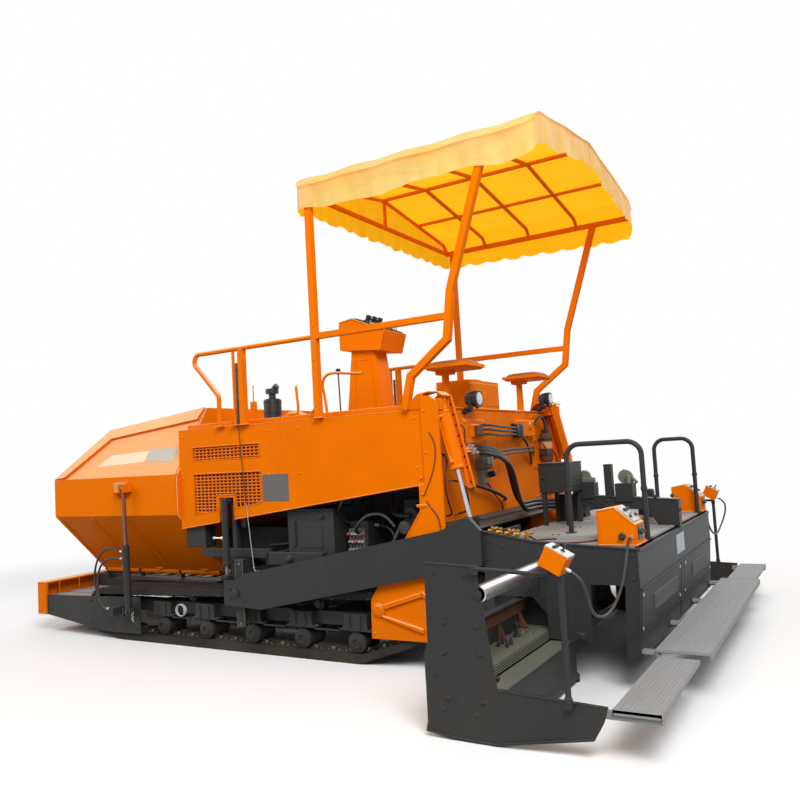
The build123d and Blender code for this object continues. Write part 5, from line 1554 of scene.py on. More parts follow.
piece("loop_rails", merge(loop_rail, far_loop), "tractor", "orange_paint")
gear_lever = merge(pipe([(905, 900, 1792), (910, 900, 1990), (913, 900, 2170)], 6, 8),
                   copies(knob(20, 50), [(913, 900, 2160)]),
                   copies(lathe([(46, 0), (40, 8), (30, 24), (16, 34), (8, 40)], 20),
                          [(905, 900, 1790)]))
piece("gear_lever", gear_lever, "tractor", "black_plastic")
side_strip = merge(block((1664, 1682), (1228, 1248), (1814, 2312), 2),
                   pipe([(1686, 1232, 1818), (1678, 1231, 1640), (1664, 1230, 1437),
                         (1642, 1231, 1176)], 3.6, 8))
piece("rail_strip", both(side_strip), "tractor", "black_plastic")
rail_feet = merge(*[block((x - 40, x + 40), (1206, 1266), (1805, 1813), 2)
                    for x in (POST_X, 1617, 1709, 1880)],
                  copies(bolt(8), [(x + dx, 1252, 1813) for x in (POST_X, 1617, 1880)
                                   for dx in (-30, 30)]),
                  copies(bolt(7), [(POST_X, 1262, z) for z in (1900, 2250, 2500, 3460)], (0, 1, 0)),
                  copies(bolt(6), [(1617, 1262, 2380)], (0, 1, 0)))
piece("rail_feet", both(rail_feet), "tractor", "orange_paint")
print("platform dressed")

# %% [markdown]
# ## The rear wall
# Behind the operator, pipes and valves cover the wall. Each group is a body with ports, and each
# line leaves one port and ends in another, so that nothing hangs in the air. The two lift rams
# hang at the sides, each with its lock bar, whose slots are near-black discs of painted shade.

# %% Rear wall
hood_out = [(106, 1806), (78, 1872), (28, 1914), (-60, 1928), (-132, 1922), (-178, 1890)]
hood_in = [(-172, 1884), (-130, 1913), (-60, 1918), (22, 1904), (68, 1866), (95, 1806)]
hood = plate(hood_out + hood_in, 1096, 1222, "y", 2)
hood_side = plate([(106, 1806), (78, 1872), (28, 1914), (-20, 1922), (-20, 1806)], 1216, 1226, "y",
                  2)
lock_bar = merge(plate([(-120, 1884), (-176, 1892), (-316, 1256), (-262, 1246)], 1078, 1084, "y",
                       1),
                 plate([(-120, 1884), (-130, 1886), (-272, 1248), (-262, 1246)], 1080, 1104, "y",
                       1),
                 plate([(-166, 1891), (-176, 1892), (-316, 1256), (-306, 1254)], 1080, 1104, "y",
                       1),
                 plate([(-262, 1246), (-316, 1256), (-318, 1248), (-264, 1238)], 1080, 1100, "y",
                       1))
apron = merge(plate([(-22, 996), (-22, 986), (-214, 944), (-226, 930), (-230, 940), (-216, 954)],
                    -1090, 1090, "y", 1.5),
              plate([(-60, 978), (-60, 1000), (-150, 984), (-150, 960)], -560, 620, "y", 3),
              copies(bolt(8), [(-40, y, 992) for y in range(-1000, 1100, 250)], (-0.2, 0, 1)))
piece("rear_apron", apron, "tractor", "dark_paint")
piece("ram_hoods", both(merge(hood, hood_side, lock_bar)), "tractor", "orange_paint")
# Painted shade: thin near-black discs on the lock bar stand in for its slots.
slot_hole_shades = copies(lathe([(9, 0), (9, 1.5)], 16), [(-152 - 139 * t, 1083.5, 1880 - 620 * t)
                                                    for t in
                                                    (0.08, 0.2, 0.32, 0.44, 0.56, 0.68, 0.8, 0.96)],
                    (0, 1, 0))
piece("lock_bar_hole_shades", both(slot_hole_shades), "tractor", "dark_hole")
wall_plate = merge(block((-34, -20), (240, 640), (1555, 1738), 3),
                   block((-78, -20), (-748, -420), (1596, 1740), 4),
                   block((-30, -20), (-1190, -790), (1300, 1800), 3),
                   block((-60, -20), (392, 512), (1600, 1700), 6))
wall_rims = merge(block((-30, -20), (-1210, 1210), (1818, 1830), 2),
                  block((-28, -20), (-4, 4), (940, 1816), 1),
                  block((-40, -20), (-640, 640), (936, 950), 2))
wall_bolts = copies(bolt(9), [(-34, y, z) for y in (262, 618) for z in (1578, 1716)]
                    + [(-78, y, z) for y in (-725, -445) for z in (1614, 1722)]
                    + [(-30, y, z) for y in (-1170, -810) for z in (1330, 1550, 1770)]
                    + [(-22, y, z) for y in (-640, 660, 1190) for z in (1010, 1420, 1790)],
                    (-1, 0, 0))
round_boss = copies(lathe([(36, 0), (36, 8), (30, 12), (14, 13)], 24), [(-78, -640, 1688)],
                    (-1, 0, 0))
piece("wall_plates", merge(wall_plate, wall_rims, wall_bolts, round_boss), "tractor",
      "orange_paint")
filter_can = copies(lathe([(30, -6), (46, 0), (48, 8), (48, 96), (42, 110), (20, 116)], 28),
                    [(-76, -352, 1590)])
junction = block((-90, -60), (404, 500), (1612, 1690), 4)
piece("wall_filter", merge(filter_can, block((-60, -20), (-380, -324), (1680, 1712), 3)), "tractor",
      "black_plastic")
piece("wall_junction", junction, "tractor", "rust")
valve = merge(block((-96, -20), (292, 444), (1346, 1470), 5),
              plate([(300, 1346), (436, 1346), (400, 1228), (336, 1228)], -70, -20, "x", 4),
              block((-120, -96), (310, 350), (1380, 1440), 3),
              block((-120, -96), (380, 420), (1380, 1440), 3),
              copies(lathe([(15, 0), (15, 14), (9, 16), (9, 26)], 6),
                     [(-96, y, z) for y in (322, 368, 414) for z in (1364, 1456)], (-1, 0, 0)))
coil_black = copies(lathe([(24, 0), (24, 56), (12, 60)], 20), [(-70, 300, 1300)], (-1, 0, 0.2))
piece("wall_valve", valve, "tractor", "green_grey")
piece("wall_coils", coil_black, "tractor", "black_plastic")
canister = copies(lathe([(30, -10), (52, 0), (56, 10), (56, 232), (50, 250), (26, 256)], 32),
                  [(-100, -962, 1366)])
canister_bands = copies(lathe([(56, 0), (59, 2), (59, 16), (56, 18)], 32),
                        [(-100, -962, z) for z in (1410, 1556)])
canister_head = merge(copies(lathe([(40, 0), (40, 34), (22, 36), (22, 44)], 6),
                             [(-100, -962, 1620)]),
                      block((-100, -22), (-990, -934), (1410, 1428), 3),
                      block((-100, -22), (-990, -934), (1556, 1574), 3))
piece("wall_canister", canister, "tractor", "rust")
piece("wall_canister_trim", merge(canister_bands, canister_head), "tractor", "dark_paint")
label = copies(lathe([(57.2, 0), (57.2, 62)], 32), [(-100, -962, 1478)])
piece("canister_label", label, "tractor", "pale_pad")
stub_lines = [pipe([(-60, 396, z0), (-100, 360, z0 + 4), (-118, 240, z0 - 2), (-116, 60, z0 - 14),
                    (-104, -140, z1 + 6), (-84, -300, z1), (-78, -322, z1)], 10)
              for z0, z1 in ((1690, 1668), (1655, 1640), (1618, 1612))]
wall_hoses = merge(
    *stub_lines,
    pipe([(-90, 300, 1456), (-130, 240, 1478), (-120, 0, 1490), (-100, -300, 1492),
          (-90, -520, 1494), (-70, -760, 1494), (-34, -800, 1494)], 11),
    pipe([(-90, 300, 1420), (-140, 200, 1448), (-130, -100, 1462), (-110, -420, 1466),
          (-80, -700, 1462), (-34, -790, 1450)], 11),
    pipe([(-84, -400, 1596), (-96, -470, 1560), (-90, -545, 1475), (-70, -640, 1400),
          (-34, -720, 1350)], 10),
    pipe([(-34, 640, 1240), (-70, 590, 1237), (-88, 430, 1204), (-88, 240, 1160), (-80, 60, 1110),
          (-60, -40, 1082), (-34, -60, 1080)], 14),
    pipe([(-100, -962, 1660), (-104, -958, 1722), (-100, -900, 1775), (-90, -830, 1772),
          (-80, -760, 1712), (-78, -740, 1700)], 12),
    pipe([(-100, -985, 1655), (-110, -1010, 1700), (-100, -1060, 1760), (-60, -1100, 1770),
          (-34, -1110, 1770)], 10))
piece("wall_hoses", wall_hoses, "tractor", "hose_rubber")
thin_lines = merge(
    pipe([(-92, 440, 1466), (-80, 560, 1482), (-62, 760, 1486), (-52, 1000, 1484),
          (-48, 1150, 1440), (-46, 1204, 1330), (-46, 1206, 1230), (-46, 1180, 1150),
          (-44, 1120, 1080), (-34, 1060, 1010)], 7, 8),
    pipe([(-70, 340, 1240), (-84, 320, 1190), (-84, 200, 1110), (-76, 90, 1058), (-60, 40, 1000),
          (-34, 30, 985)], 6, 8),
    pipe([(-34, 700, 1700), (-66, 690, 1690), (-70, 690, 1600), (-60, 700, 1500), (-34, 705, 1480)],
         6, 8),
    pipe([(-34, 700, 1420), (-60, 690, 1400), (-66, 640, 1300), (-60, 560, 1230), (-34, 540, 1200)],
         6, 8),
    pipe([(-30, -830, 1560), (-90, -850, 1540), (-130, -880, 1480), (-120, -900, 1420),
          (-100, -920, 1400)], 7, 8))
piece("wall_thin_lines", thin_lines, "tractor", "dark_red_rubber")
tight = copies(lathe([(14, 0), (14, 10), (10, 12), (10, 22)], 6),
               [(-22, y, z) for y, z in ((700, 1700), (705, 1480), (700, 1420), (540, 1200),
                                         (30, 985), (1060, 1010), (640, 1240), (-60, 1080),
                                         (-1110, 1770))]
               + [(-30, y, z) for y, z in ((-800, 1494), (-790, 1450), (-830, 1560))], (-1, 0, 0))
piece("wall_ports", tight, "tractor", "zinc")
locker_front = merge(block((-25, -20), (-84, 458), (1850, 2034), 2),
                     block((-29, -24), (170, 200), (1900, 1960), 2),
                     copies(bolt(7), [(-25, y, z) for y in (-66, 440) for z in (1868, 2016)],
                            (-1, 0, 0)))
piece("locker_front", locker_front, "tractor", "orange_paint")


def lamp(y, z, size):
    """A rounded housing: a superellipse's rings swell from the rear and end in a flat glass."""
    sides = 40
    turn = np.linspace(0, 2 * np.pi, sides, endpoint=False)
    cos, sin = np.cos(turn), np.sin(turn)
    outline = np.stack([cos, sin], axis=1) / ((cos ** 4 + sin ** 4) ** 0.25)[:, None]
    steps = np.array([0.0, 0.02, 0.15, 0.4, 0.7, 0.9, 1.0, 1.0])
    swell = np.array([0.3, 0.5, 0.72, 0.9, 0.98, 1.0, 0.98, 0.9])
    rings = np.zeros((len(steps), sides, 3))
    rings[..., 0] = -48 - 112 * steps[:, None]
    rings[..., 1:] = (y, z) + outline[None] * swell[:, None, None] * size
    points = rings.reshape(-1, 3)
    caps = [list(range(sides))[::-1], list(range(len(points) - sides, len(points)))]
    return at(points), grid_faces(len(steps), sides, around=True) + caps


LAMPS_AT = [(590, 1888, 62), (-995, 1942, 58)]
brackets = merge(*[merge(block((-96, -40), (y - 20, y + 20), (z - 96, z - 60), 4),
                         block((-60, -22), (y - 30, y + 30), (z - 110, z - 80), 4))
                   for y, z, size in LAMPS_AT])
shells = piece("lamp_shells", merge(*[lamp(*spec) for spec in LAMPS_AT], brackets), "tractor",
               "black_plastic", soft=50)
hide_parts("work_lamps")
glass = merge(*[copies(lathe([(size * 0.78, 0), (size * 0.78, 3), (size * 0.5, 6), (4, 8)], 32),
                       [(-160, y, z)], (-1, 0, 0))
                for y, z, size in LAMPS_AT])
piece("lamp_glass", glass, "tractor", "lens")
yokes = merge(*[merge(block((-120, -96), (y - size - 6, y - size + 2), (z - 70, z + 10), 1.5),
                      block((-120, -96), (y + size - 2, y + size + 6), (z - 70, z + 10), 1.5))
                for y, z, size in LAMPS_AT])
piece("lamp_yokes", yokes, "tractor", "dark_paint")
RAM_TOP, RAM_REACH, RAM_LENGTH = np.array([-120, 1160, 1850.0]), np.array([-180, 0, -830.0]), 849.3
for side, sign in SIDES.items():
    way, top = RAM_REACH / RAM_LENGTH, RAM_TOP
    rings = merge(copies(lathe([(46, 0), (52, 3), (52, 20), (46, 23)], 32), [top + way * 462], way),
                  copies(lathe([(48, 0), (51, 2), (51, 10), (48, 12)], 32), [top + way * 74], way),
                  copies(lathe([(14, 0), (14, 18), (9, 20), (9, 34)], 12),
                         [top + way * 110 + (0, 40, 0), top + way * 430 + (0, 40, 0)], (0, 1, 0)))
    line = tube(smooth_line(at([top + way * 110 + (0, 74, 0), top + way * 122 + (6, 74, 0),
                                top + way * 200 + (14, 60, 0), top + way * 400 + (10, 58, 0),
                                top + way * 428 + (0, 66, 0)]), 5), 0.006, 8)
    shape = merge(rings, line)
    piece(f"lift_barrel_trim_{side}", shape if sign > 0 else flip(shape), f"lift_ram_barrel_{side}",
          "orange_paint")
print("rear wall dressed")

# %% [markdown]
# ## The screed
# The screed's skin is thin sheet over frames. Each half of its rear has one louvred cover, each
# louvre a small roof over a slot, whose dark is a thin near-black strip of painted shade, and
# everything on the deck is bolted down by a foot.

# %% Screed
REAR_TOP, REAR_SLANT = (-1425, 620), 33 / 415


def rear_x(z, off):
    """Where the slanted rear wall is at a height, and how far off it a point stands."""
    return REAR_TOP[0] + (REAR_TOP[1] - z) * REAR_SLANT - off


def on_rear(y, low, high, off_in, off_out, bevel=1.0):
    """A flat piece on the slanted rear wall between two heights."""
    outline = [(rear_x(low, off_in), low), (rear_x(high, off_in), high),
               (rear_x(high, off_out), high), (rear_x(low, off_out), low)]
    return plate(outline, *y, "y", bevel)


covers, slot_shades = [], []
for low, high in ((64, 1228), (-1228, -64)):
    covers.append(on_rear((low, high), 352, 606, -0.5, 4))
    for z in np.arange(440, 548, 18):
        near, far = (low + 130, low + 860)
        # Painted shade: a near-black strip on the cover under each louvre, for the dark of its
        # slot.
        slot_shades.append(on_rear((near, far), z - 5, z + 1, 3.5, 4.6, 0.3))
        covers.append(plate([(rear_x(z + 1, 3), z + 1), (rear_x(z + 1, 13), z - 3),
                             (rear_x(z + 1, 13), z - 1), (rear_x(z + 11, 4), z + 11)], near, far,
                            "y", 0.5))
screws = copies(lathe([(13, 0), (13, 3), (9, 5), (3, 5)], 16),
                [(rear_x(z, 4), y, z) for z in (380, 582)
                                                              for y in (96, 1196, -96, -1196)],
                (-1, 0, 0))
lips = merge(on_rear((-1238, 1238), 612, 624, -1, 10), on_rear((-1238, 1238), 336, 346, -1, 6),
             on_rear((-1238, 1238), 214, 226, -1, 8), on_rear((-44, 44), 226, 612, -1, 5),
             block((-1436, -1424), (-1238, 1238), (842, 855), 2))
piece("rear_covers", merge(*covers), "screed", "dark_paint")
piece("rear_slot_shades", merge(*slot_shades), "screed", "dark_hole")
piece("rear_screws", screws, "screed", "zinc")
piece("rear_lips", lips, "screed", "dark_paint")
piece("rear_sign", block((-1428.5, -1424.5), (-118, 150), (676, 812), 1), "screed", "blank_blue")
side_lips = merge(plate([(-427, 966), (-769, 903), (-1425, 861), (-1425, 850), (-769, 892),
                         (-427, 955)], 1248, 1258, "y", 1.5),
                  plate([(-1425, 861), (-1425, 620), (-1392, 205), (-1380, 205), (-1413, 620),
                         (-1413, 861)], 1248, 1255, "y", 1.5))
side_bolts = copies(bolt(9),
                    [(x, 1250, z) for x, z in ((-460, 900), (-460, 780), (-560, 860), (-1390, 820),
                                               (-1390, 680))], (0, 1, 0))
piece("screed_side_trim", both(merge(side_lips, side_bolts)), "screed", "dark_paint")

deck_plates = merge(*[block(x, y, (872, 876), 1)
                      for x, y in (((-1396, -1134), (60, 1000)), ((-1396, -1134), (-1000, -60)),
                                                             ((-496, -456), (-1210, 1210)))])
hood_plates = merge(*[block(x, y, (904, 908), 1) for x in ((-1124, -830), (-822, -506))
                      for y in ((60, 990), (-990, -60))])
piece("deck_plates", merge(deck_plates, hood_plates), "screed", "step_grey")
hood_bolts = copies(bolt(7), [(x, y, 908) for x in (-1110, -845, -806, -520)
                              for y in (80, 500, 970, -80, -500, -970)])
HOOP_LEGS = [(-895, 850, 904), (-1395, 850, 872), (-1080, -930, 904), (-1395, -930, 872)]
hoop_feet = merge(*[block((x - 30, x + 30), (y - 34, y + 34), (z, z + 8), 2)
                    for x, y, z in HOOP_LEGS],
                  copies(bolt(6), [(x + dx, y + dy, z + 8) for x, y, z in HOOP_LEGS
                                   for dx in (-22, 22) for dy in (-26, 26)]))
clamps = copies(lathe([(17, 0), (21, 2), (21, 26), (17, 28)], 20),
                [(x, y, 1180) for x, y, z in HOOP_LEGS])
piece("deck_bolts", hood_bolts, "screed", "dark_paint")
piece("hoop_feet", merge(hoop_feet, clamps), "screed", "dark_paint")

fitting = merge(lathe([(16, 0), (16, 12), (11, 14), (11, 26), (15, 28), (15, 42), (8, 44), (8, 58),
                       (12, 60), (12, 70), (4, 72)], 12),
                lathe([(20, -4), (20, 3), (17, 5)], 6))
side_fit = lathe([(9, 0), (9, 20), (13, 21), (13, 34), (7, 36), (7, 44)], 10)
FITTINGS = np.array([(-470, 1196, 920), (-530, 1196, 912), (-590, 1196, 904), (-650, 1196, 898),
                     (-710, 1196, 892)])
brass = merge(copies(fitting, FITTINGS), copies(side_fit, FITTINGS + (0, 6, 40), (0.2, 1, 0.15)),
              copies(side_fit, FITTINGS[::2] + (-4, 0, 54), (-1, 0, 0.1)),
              copies(side_fit, FITTINGS[1::2] + (0, -6, 48), (0.4, -1, 0.3)))
rail = plate([(-450, 873), (-450, 924), (-740, 890), (-740, 873)], 1176, 1214, "y", 2)
piece("burner_fittings", both(brass), "screed", "brass")
piece("burner_rail", both(merge(rail, block((-470, -452), (700, 1200), (873, 950), 3))), "screed",
      "dark_paint")
gas_lines = merge(pipe([(-530, 1180, 940), (-526, 1150, 925), (-530, 1210, 890), (-600, 1206, 884),
                        (-700, 1200, 886), (-780, 1180, 900), (-840, 1120, 900), (-850, 1040, 890)],
                       6, 8),
                  pipe([(-710, 1180, 930), (-735, 1160, 908), (-800, 1204, 890), (-880, 1196, 884),
                        (-1000, 1190, 884), (-1120, 1160, 890), (-1180, 1120, 900)], 6, 8))
piece("burner_lines", both(gas_lines), "screed", "dark_red_rubber")

box_pads = plate([(-1300, 1099), (-1402, 1014), (-1405, 1018), (-1303, 1103)], 1030, 1195, "y", 1)
pad_knobs = copies(knob(11, 18),
                   [(-1330, y, 1076)
                    for y in (1060, 1100, 1140)] + [(-1372, y, 1040) for y in (1050, 1170)],
                   (-0.64, 0, 0.77))
pad_switches = copies(lathe([(6, 0), (6, 5), (3, 6), (4, 20)], 10),
                      [(-1358, y, 1053) for y in (1080, 1105, 1130)], (-0.64, 0, 0.77))
sockets = merge(copies(lathe([(22, 0), (22, 8), (17, 11), (17, 26), (12, 28)], 20),
                       [(-1330, 1214, 930)], (0, 1, 0)),
                block((-1420, -1413), (1060, 1168), (905, 990), 2),
                copies(lathe([(16, 0), (16, 10), (12, 12), (12, 20)], 16),
                       [(-1419, y, 948) for y in (1086, 1140)], (-1, 0, 0)))
box_seams = merge(rim([(-1408, 880), (-1187, 880), (-1187, 1078), (-1290, 1096), (-1408, 994)], 5,
                      (1213, 1218)),
                  block((-1200, -1190), (1008, 1217), (900, 1060), 2),
                  block((-1421, -1180), (1000, 1220), (872, 880), 2))
piece("box_pads", both(box_pads), "screed", "light_grey")
piece("box_knobs", both(merge(pad_knobs, sockets)), "screed", "black_plastic")
piece("box_switches", both(pad_switches), "screed", "zinc")
piece("box_seams", both(box_seams), "screed", "orange_paint")

rungs = [block((x - 2.5, x + 2.5), (-1246, 1246), (279.5, 282.5), 0.5)
         for x in np.arange(-1780, -1495, 15)]
step_ends = merge(*[block((-1791, -1486), (y - 3, y + 3), (262, 284), 2) for y in (-1249, 1249)],
                  block((-1791, -1783), (-1250, 1250), (240, 284), 2),
                  block((-1494, -1486), (-1250, 1250), (240, 284), 2))
step_struts = merge(*[plate([(-1500, 262), (-1396, 262), (-1396, 225), (-1430, 225)], y - 6, y + 6,
                            "y", 2)
                      for y in (-1200, -400, 400, 1200)])
piece("walkway_rungs", merge(*rungs), "screed", "step_grey")
piece("walkway_edges", merge(step_ends, step_struts), "screed", "step_grey")

gear_green = merge(copies(lathe([(14, -20), (52, -18), (52, 18), (14, 20)], 24), [(-1060, 0, 1236)],
                          (0, 1, 0)),
                   copies(toothed(16, 46, 54, -9, 9), [(-745, 0, 1244)], (0, 1, 0)),
                   pipe([(-1042, 0, 1284), (-1090, 4, 1250), (-1148, 4, 1186)], 12, 8),
                   copies(lathe([(20, 0), (20, 60), (12, 64)], 16),
                          [(-1090, y, 1186) for y in (-36, 36)]),
                   block((-820, -670), (-30, 30), (1196, 1240), 8))
rods_dark = merge(copies(lathe([(9, 0), (9, 150), (5, 152)], 10),
                         [(-1150, -560, 905), (-1290, -600, 873)], (0.05, 0, 1)),
                  block((-1200, -1110), (-360, -250), (905, 1050), 8),
                  block((-1190, -1130), (-340, -270), (1050, 1120), 10),
                  copies(lathe([(26, 0), (26, 110), (14, 116)], 16),
                         [(-1060, y, 905) for y in (-480, -420)]))
beam_caps = merge(plate([(-524, 1114), (-1438, 1056), (-1438, 1061), (-524, 1119)], -52, 52, "y",
                        1),
                  copies(bolt(10), [(x, 46, 1075 - 0.0637 * (x + 1200))
                                    for x in np.arange(-1400, -560, 120)], (0, 1, 0)),
                  copies(bolt(10), [(-1440, y, 980) for y in (-28, 28)], (-1, 0, 0)))
piece("crown_gears", gear_green, "screed", "green_grey")
piece("deck_lumps", rods_dark, "screed", "dark_paint")
piece("crown_beam_trim", beam_caps, "screed", "dark_paint")
cabinet_trim = merge(rim([(-738, 1160), (-526, 1160), (-526, 1358), (-738, 1358)], 5, (399, 404)),
                     block((-749, -515), (66, 404), (1364, 1372), 3),
                     copies(lathe([(12, 0), (12, 8), (8, 12)], 14), [(-560, 402, 1260)], (0, 1, 0)),
                     *[block((-748, -744), (110, 360), (z, z + 6), 1)
                       for z in (1200, 1222, 1244, 1266)])
piece("cabinet_trim", cabinet_trim, "screed", "dark_paint")
manifold_trim = merge(copies(bolt(8), [(-650, y, z) for y in (-362, -254) for z in (930, 1070)],
                             (-1, 0, 0)),
                      block((-664, -546), (-388, -228), (900, 914), 3),
                      copies(side_fit, [(-600, y, 1085) for y in (-350, -308, -266)]))
piece("manifold_trim", manifold_trim, "screed", "cast_grey")
nose_ribs = merge(*[block((-421, -412), (y - 30, y + 30), (110, 540), 3)
                    for y in (-1050, -450, 450, 1050)])
piece("nose_ribs", nose_ribs, "screed", "dark_paint")
print("screed dressed")

# %% [markdown]
# ## The extensions
# Each extension is a smaller screed that slides out of the main one. What wears or is set by hand
# is on it: the cover over its tamper, a laminated bar, a spindle, and the end plate's bolts.
# The two sides have their guide tubes at different places, so their collars differ too.

# %% Extensions
cover = merge(block((-826, -628), (1112, 2258), (340, 343), 1),
              block((-944, -838), (1112, 2258), (280, 283), 1),
              block((-950, -944), (1112, 2262), (262, 288), 1.5))
hinges = merge(*[block((x - 40, x + 40), (y - 30, y + 30), (343, 347), 1)
                 for x, y in ((-720, 1330), (-720, 2080))],
               copies(bolt(8), [(x, y, 347) for x in (-745, -695) for y in (1330, 2080)]))
laminate = merge(*[block((-830, -826), (1112, 2258), (z, z + 9), 1) for z in (286, 300, 314, 328)])
either("tamper_cover", merge(cover, laminate), "extension", "green_grey")
either("tamper_hinges", hinges, "extension", "zinc")
angle = merge(block((-650, -628), (1116, 2256), (500, 506), 1.5),
              block((-634, -628), (1116, 2256), (440, 506), 1.5))
gussets = merge(*[plate([(-630, 346), (-630, 440), (-640, 440), (-690, 346)], y - 4, y + 4, "y", 1)
                  for y in (1220, 1560, 1900, 2230)])
either("extension_angle", merge(angle, gussets), "extension", "rust")
spindle = merge(copies(lathe([(24, 0), (24, 10), (13, 12), (13, 66), (20, 70), (20, 84), (8, 88)],
                             16), [(-700, 1440, 343)]),
                copies(knob(15, 30), [(-880, 2160, 283)]),
                copies(lathe([(11, 0), (11, 26), (7, 28), (7, 40)], 12),
                       [(x, y, 343) for x in (-690, -745) for y in (1640, 1700)]))
either("extension_spindle", spindle, "extension", "dark_paint")
end_bolts = copies(bolt(9),
                   [(x, 2280, z) for x, z in ((-645, 599), (-832, 588), (-631, 440), (-620, 150),
                                              (-807, 140))], (0, 1, 0))
set_bolts = copies(bolt(10), [(x, 2280, z) for x in (-845, -645) for z in (210, 450)], (0, 1, 0))
either("end_plate_bolts", merge(end_bolts, set_bolts), "extension", "dark_paint")
# Painted shade: thin near-black discs on the end plate stand in for its holes.
hole_shades = copies(lathe([(13, 0), (13, 0.8)], 20),
               [(x, 2280, z) for x, z in ((-580, 326), (-867, 330), (-574, 231), (-867, 215),
                                                                       (-600, 850), (-780, 840))],
               (0, 1, 0))
either("end_plate_hole_shades", hole_shades, "extension", "dark_hole")
foot_edge = plate([(-504, 30), (-640, 10), (-905, 2), (-1140, 46), (-1415, 95), (-1415, 106),
                   (-1140, 58), (-905, 14), (-640, 22), (-516, 42)], 2280, 2287, "y", 1.5)
top_edge = merge(plate([(-545, 917), (-842, 902), (-841, 893), (-549, 908)], 2264, 2284, "y", 1.5),
                 plate([(-1490, 258), (-925, 285), (-925, 277), (-1486, 250)], 2264, 2284, "y",
                       1.5))
either("end_plate_edges", merge(foot_edge, top_edge), "extension", "dark_paint")
for side, sign in SIDES.items():
    x = -850 if sign > 0 else -990
    collar = copies(lathe([(26, 0), (26, 5), (10, 9)], 24), [(x, 2280, 752)], (0, 1, 0))
    seal = copies(lathe([(60, 0), (60, 5), (52, 8), (48, 8)], 32), [(x, 1250, 752)], (0, 1, 0))
    seal_bolts = copies(bolt(6), [(x + dx, 1250, 752 + dz) for dx in (-52, 52) for dz in (-52, 52)],
                        (0, 1, 0))
    for name, shape, body in ((f"tube_collar_{side}", collar, f"extension_{side}"),
                              (f"tube_seal_{side}", merge(seal, seal_bolts), "screed")):
        piece(name, shape if sign > 0 else flip(shape), body, "dark_paint")
walk_rungs = merge(*[block((x - 2, x + 2), (1304, 2276), (251.5, 254), 0.5)
                     for x in np.arange(-1728, -1518, 15)])
walk_edges = merge(block((-1738, -1732), (1300, 2280), (226, 254), 1.5),
                   block((-1516, -1510), (1300, 2280), (226, 254), 1.5),
                   block((-1736, -1512), (2274, 2280), (226, 254), 1.5))
either("extension_walk", merge(walk_rungs, walk_edges), "extension", "step_grey")


LEAN = math.radians(28)


def on_box(along, up):
    """A point of the remote box's section, which leans back by the lean."""
    return (-1292 + along * math.cos(LEAN) - up * math.sin(LEAN),
            945 + along * math.sin(LEAN) + up * math.cos(LEAN))


lid = plate([on_box(*spot) for spot in ((-63, 49), (63, 49), (63, 56), (-63, 56))], 2243, 2351, "y",
            2)
rim_band = plate([on_box(*spot) for spot in ((-63, 40), (63, 40), (63, 49), (-63, 49))], 2243, 2351,
                 "y", 1)
up = (-math.sin(LEAN), 0, math.cos(LEAN))
toggle = merge(copies(lathe([(12, 0), (12, 5), (5, 7), (6, 34), (3, 37)], 12),
                      [(on_box(-14, 56)[0], 2297, on_box(-14, 56)[1])], up),
               copies(lathe([(9, 0), (9, 8), (5, 11)], 12),
                      [(on_box(26, 56)[0], y, on_box(26, 56)[1]) for y in (2270, 2297, 2324)], up))
either("remote_lids", merge(lid, rim_band), "extension", "light_grey")
either("remote_toggles", toggle, "extension", "black_plastic")
stand_trim = merge(copies(lathe([(20, 0), (20, 26), (15, 30)], 16), [(-1308, 2297, 262)]),
                   copies(lathe([(19, 0), (19, 20)], 16), [(-1308, 2297, 840)]),
                   copies(bolt(6), [(-1322, 2297, 262)], (0, 0, 1)))
either("stand_trim", stand_trim, "extension", "dark_paint")
roller = merge(block((-1090, -1010), (1248, 1255), (300, 345), 2),
               copies(lathe([(20, 0), (20, 8), (16, 10)], 20), [(-1050, 1250, 322)], (0, 1, 0)))
wall_bracket = merge(block((-790, -705), (1248, 1255), (556, 640), 2),
                     copies(bolt(8), [(-768, 1254, 600), (-726, 1254, 600)], (0, 1, 0)))
piece("extension_guides", both(merge(roller, wall_bracket)), "screed", "dark_paint")
print("extensions dressed")

# %% [markdown]
# ## Conveyor and augers
# The mix is dragged to the rear by slats on two chains, and a screw on each side spreads it. A
# screw's flight is a helicoid: a point at radius r and turn a stands at a times the pitch over
# two pi along the shaft, so one grid of radii and turns gives the whole blade.

# %% Conveyor and augers
slats, chains = [], []
for low, high in ((-590, -70), (70, 590)):
    slats += [block((x, x + 34), (low, high), (404, 420), 2) for x in np.arange(2400, 4090, 100)]
    for y in (low + 30, high - 30):
        chains += [block((x, x + 62), (y - 11, y + 11), (420, 434), 4)
                   for x in np.arange(2390, 4080, 75)]
piece("conveyor_slats", merge(*slats), "tractor", "bare_steel")
piece("conveyor_chains", merge(*chains), "tractor", "rust")
guards = merge(plate([(-46, 404), (46, 404), (46, 446), (22, 466), (-22, 466), (-46, 446)], 2390,
                     4116, "x", 3),
               block((2390, 4150), (606, 638), (300, 452), 3),
               block((2390, 4150), (-638, -606), (300, 452), 3))
piece("conveyor_guards", guards, "tractor", "dark_paint")
wear = merge(*[plate([(y, z) for y, z in ((sign * 640, 452), (sign * 636, 470), (sign * 672, 476),
                                          (sign * 672, 470))],
                     2400, 4180, "x", 1) for sign in (1, -1)])
piece("hopper_sills", wear, "tractor", "bare_steel")


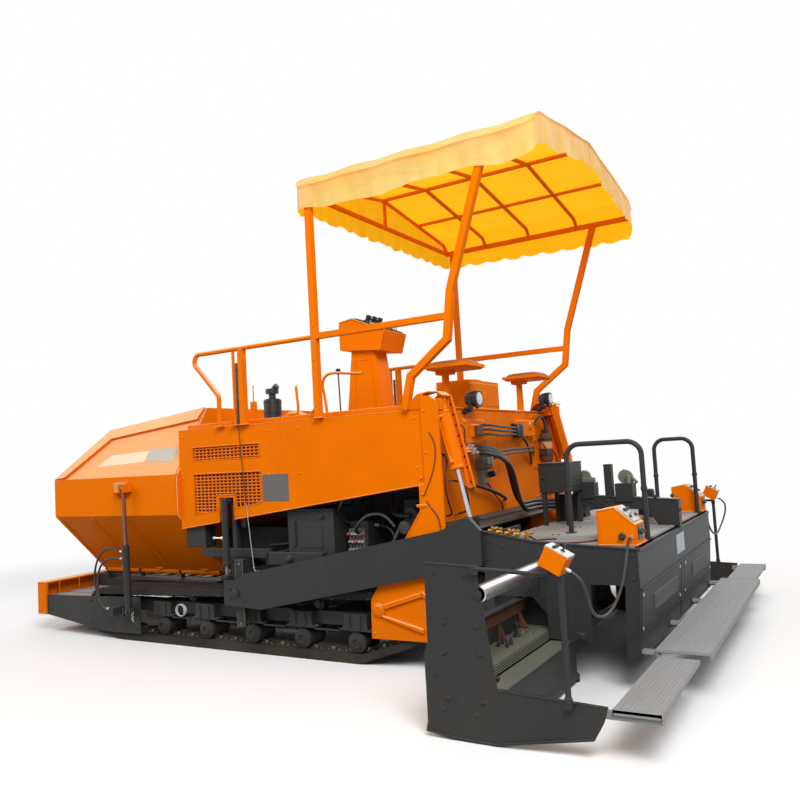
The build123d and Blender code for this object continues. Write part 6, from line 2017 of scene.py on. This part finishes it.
def helicoid(inner, outer, low, high, pitch, thick):
    """A screw blade round Z: both faces of the grid of radii and turns, half a thickness apart."""
    turns = np.linspace(0, 2 * np.pi * (high - low) / pitch, int((high - low) / pitch * 36))
    section = np.array([(inner, thick), (outer - 6, thick / 2), (outer, thick / 3),
                        (outer, -thick / 3), (outer - 6, -thick / 2), (inner, -thick)])
    points = np.zeros((len(turns), len(section), 3))
    points[..., 0] = section[:, 0] * np.cos(turns)[:, None]
    points[..., 1] = section[:, 0] * np.sin(turns)[:, None]
    points[..., 2] = low + turns[:, None] * pitch / (2 * np.pi) + section[:, 1]
    last = len(points) * len(section)
    faces = grid_faces(len(turns), len(section), around=True)
    return points.reshape(-1, 3), faces + [list(range(6))[::-1], list(range(last - 6, last))]


blade = helicoid(38, 164, 30, 1060, 300, 9)
shaft = lathe([(30, 0), (42, 4), (42, 1086), (30, 1090)], 28)
caps = merge(lathe([(58, 8), (62, 12), (62, 26), (58, 30)], 28),
             lathe([(58, 1060), (62, 1064), (62, 1078), (58, 1082)], 28))
screw = copies(merge(blade, shaft, caps), [(-200, 88, 330)], (0, 1, 0))
for side, sign in SIDES.items():
    made = piece(f"auger_screw_{side}", screw if sign > 0 else flip(screw), f"auger_{side}",
                 "bare_steel", soft=40)
    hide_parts(f"auger_{side}")
case_trim = merge(rim([(-278, 262), (112, 262), (112, 752), (-278, 752)], 8, (70, 75)),
                  copies(bolt(10), [(x, 70, z) for x in (-262, -84, 96) for z in (280, 500, 735)],
                         (0, 1, 0)))
piece("chain_case_trim", both(case_trim), "tractor", "dark_paint")
deck_cover = merge(block((3676, 4184), (676, 1218), (348, 351), 1),
                   copies(bolt(8), [(x, y, 351) for x in (3700, 4160)
                                                                                  for y in (700,
                                                                                            950,
                                                                                            1195)]))
piece("chassis_decks", both(deck_cover), "tractor", "deck_grey")
print("conveyor and augers dressed")

# %% [markdown]
# ## Two finishes on one part
# Some parts are painted in two colours. The CAD gives one node one finish, so the second is put on
# by place: every face whose middle lies below or ahead of the box gets the other material.

# %% Second finishes
BOX_LOW, BOX_FRONT = 0.872, -2.555  # below and ahead of the remote box, in metres
for side in SIDES:
    stand = NODES[f"extension_stand_{side}"]
    stand.data.materials.append(bpy.data.materials["dark_paint"])
    other = len(stand.data.materials) - 1
    for face in stand.data.polygons:
        middle = stand.matrix_world @ face.center
        if middle.z < BOX_LOW or middle.x > BOX_FRONT:
            face.material_index = other
# The vent screens get the dark red-brown of painted shade; the wing rods get a dull rod finish.
for name, title in (("vent_screens", "vent_back_shade"), ("wing_rod_left", "dull_rod"),
                    ("wing_rod_right", "dull_rod")):
    NODES[name].data.materials.clear()
    NODES[name].data.materials.append(bpy.data.materials[title])
print("second finishes set")
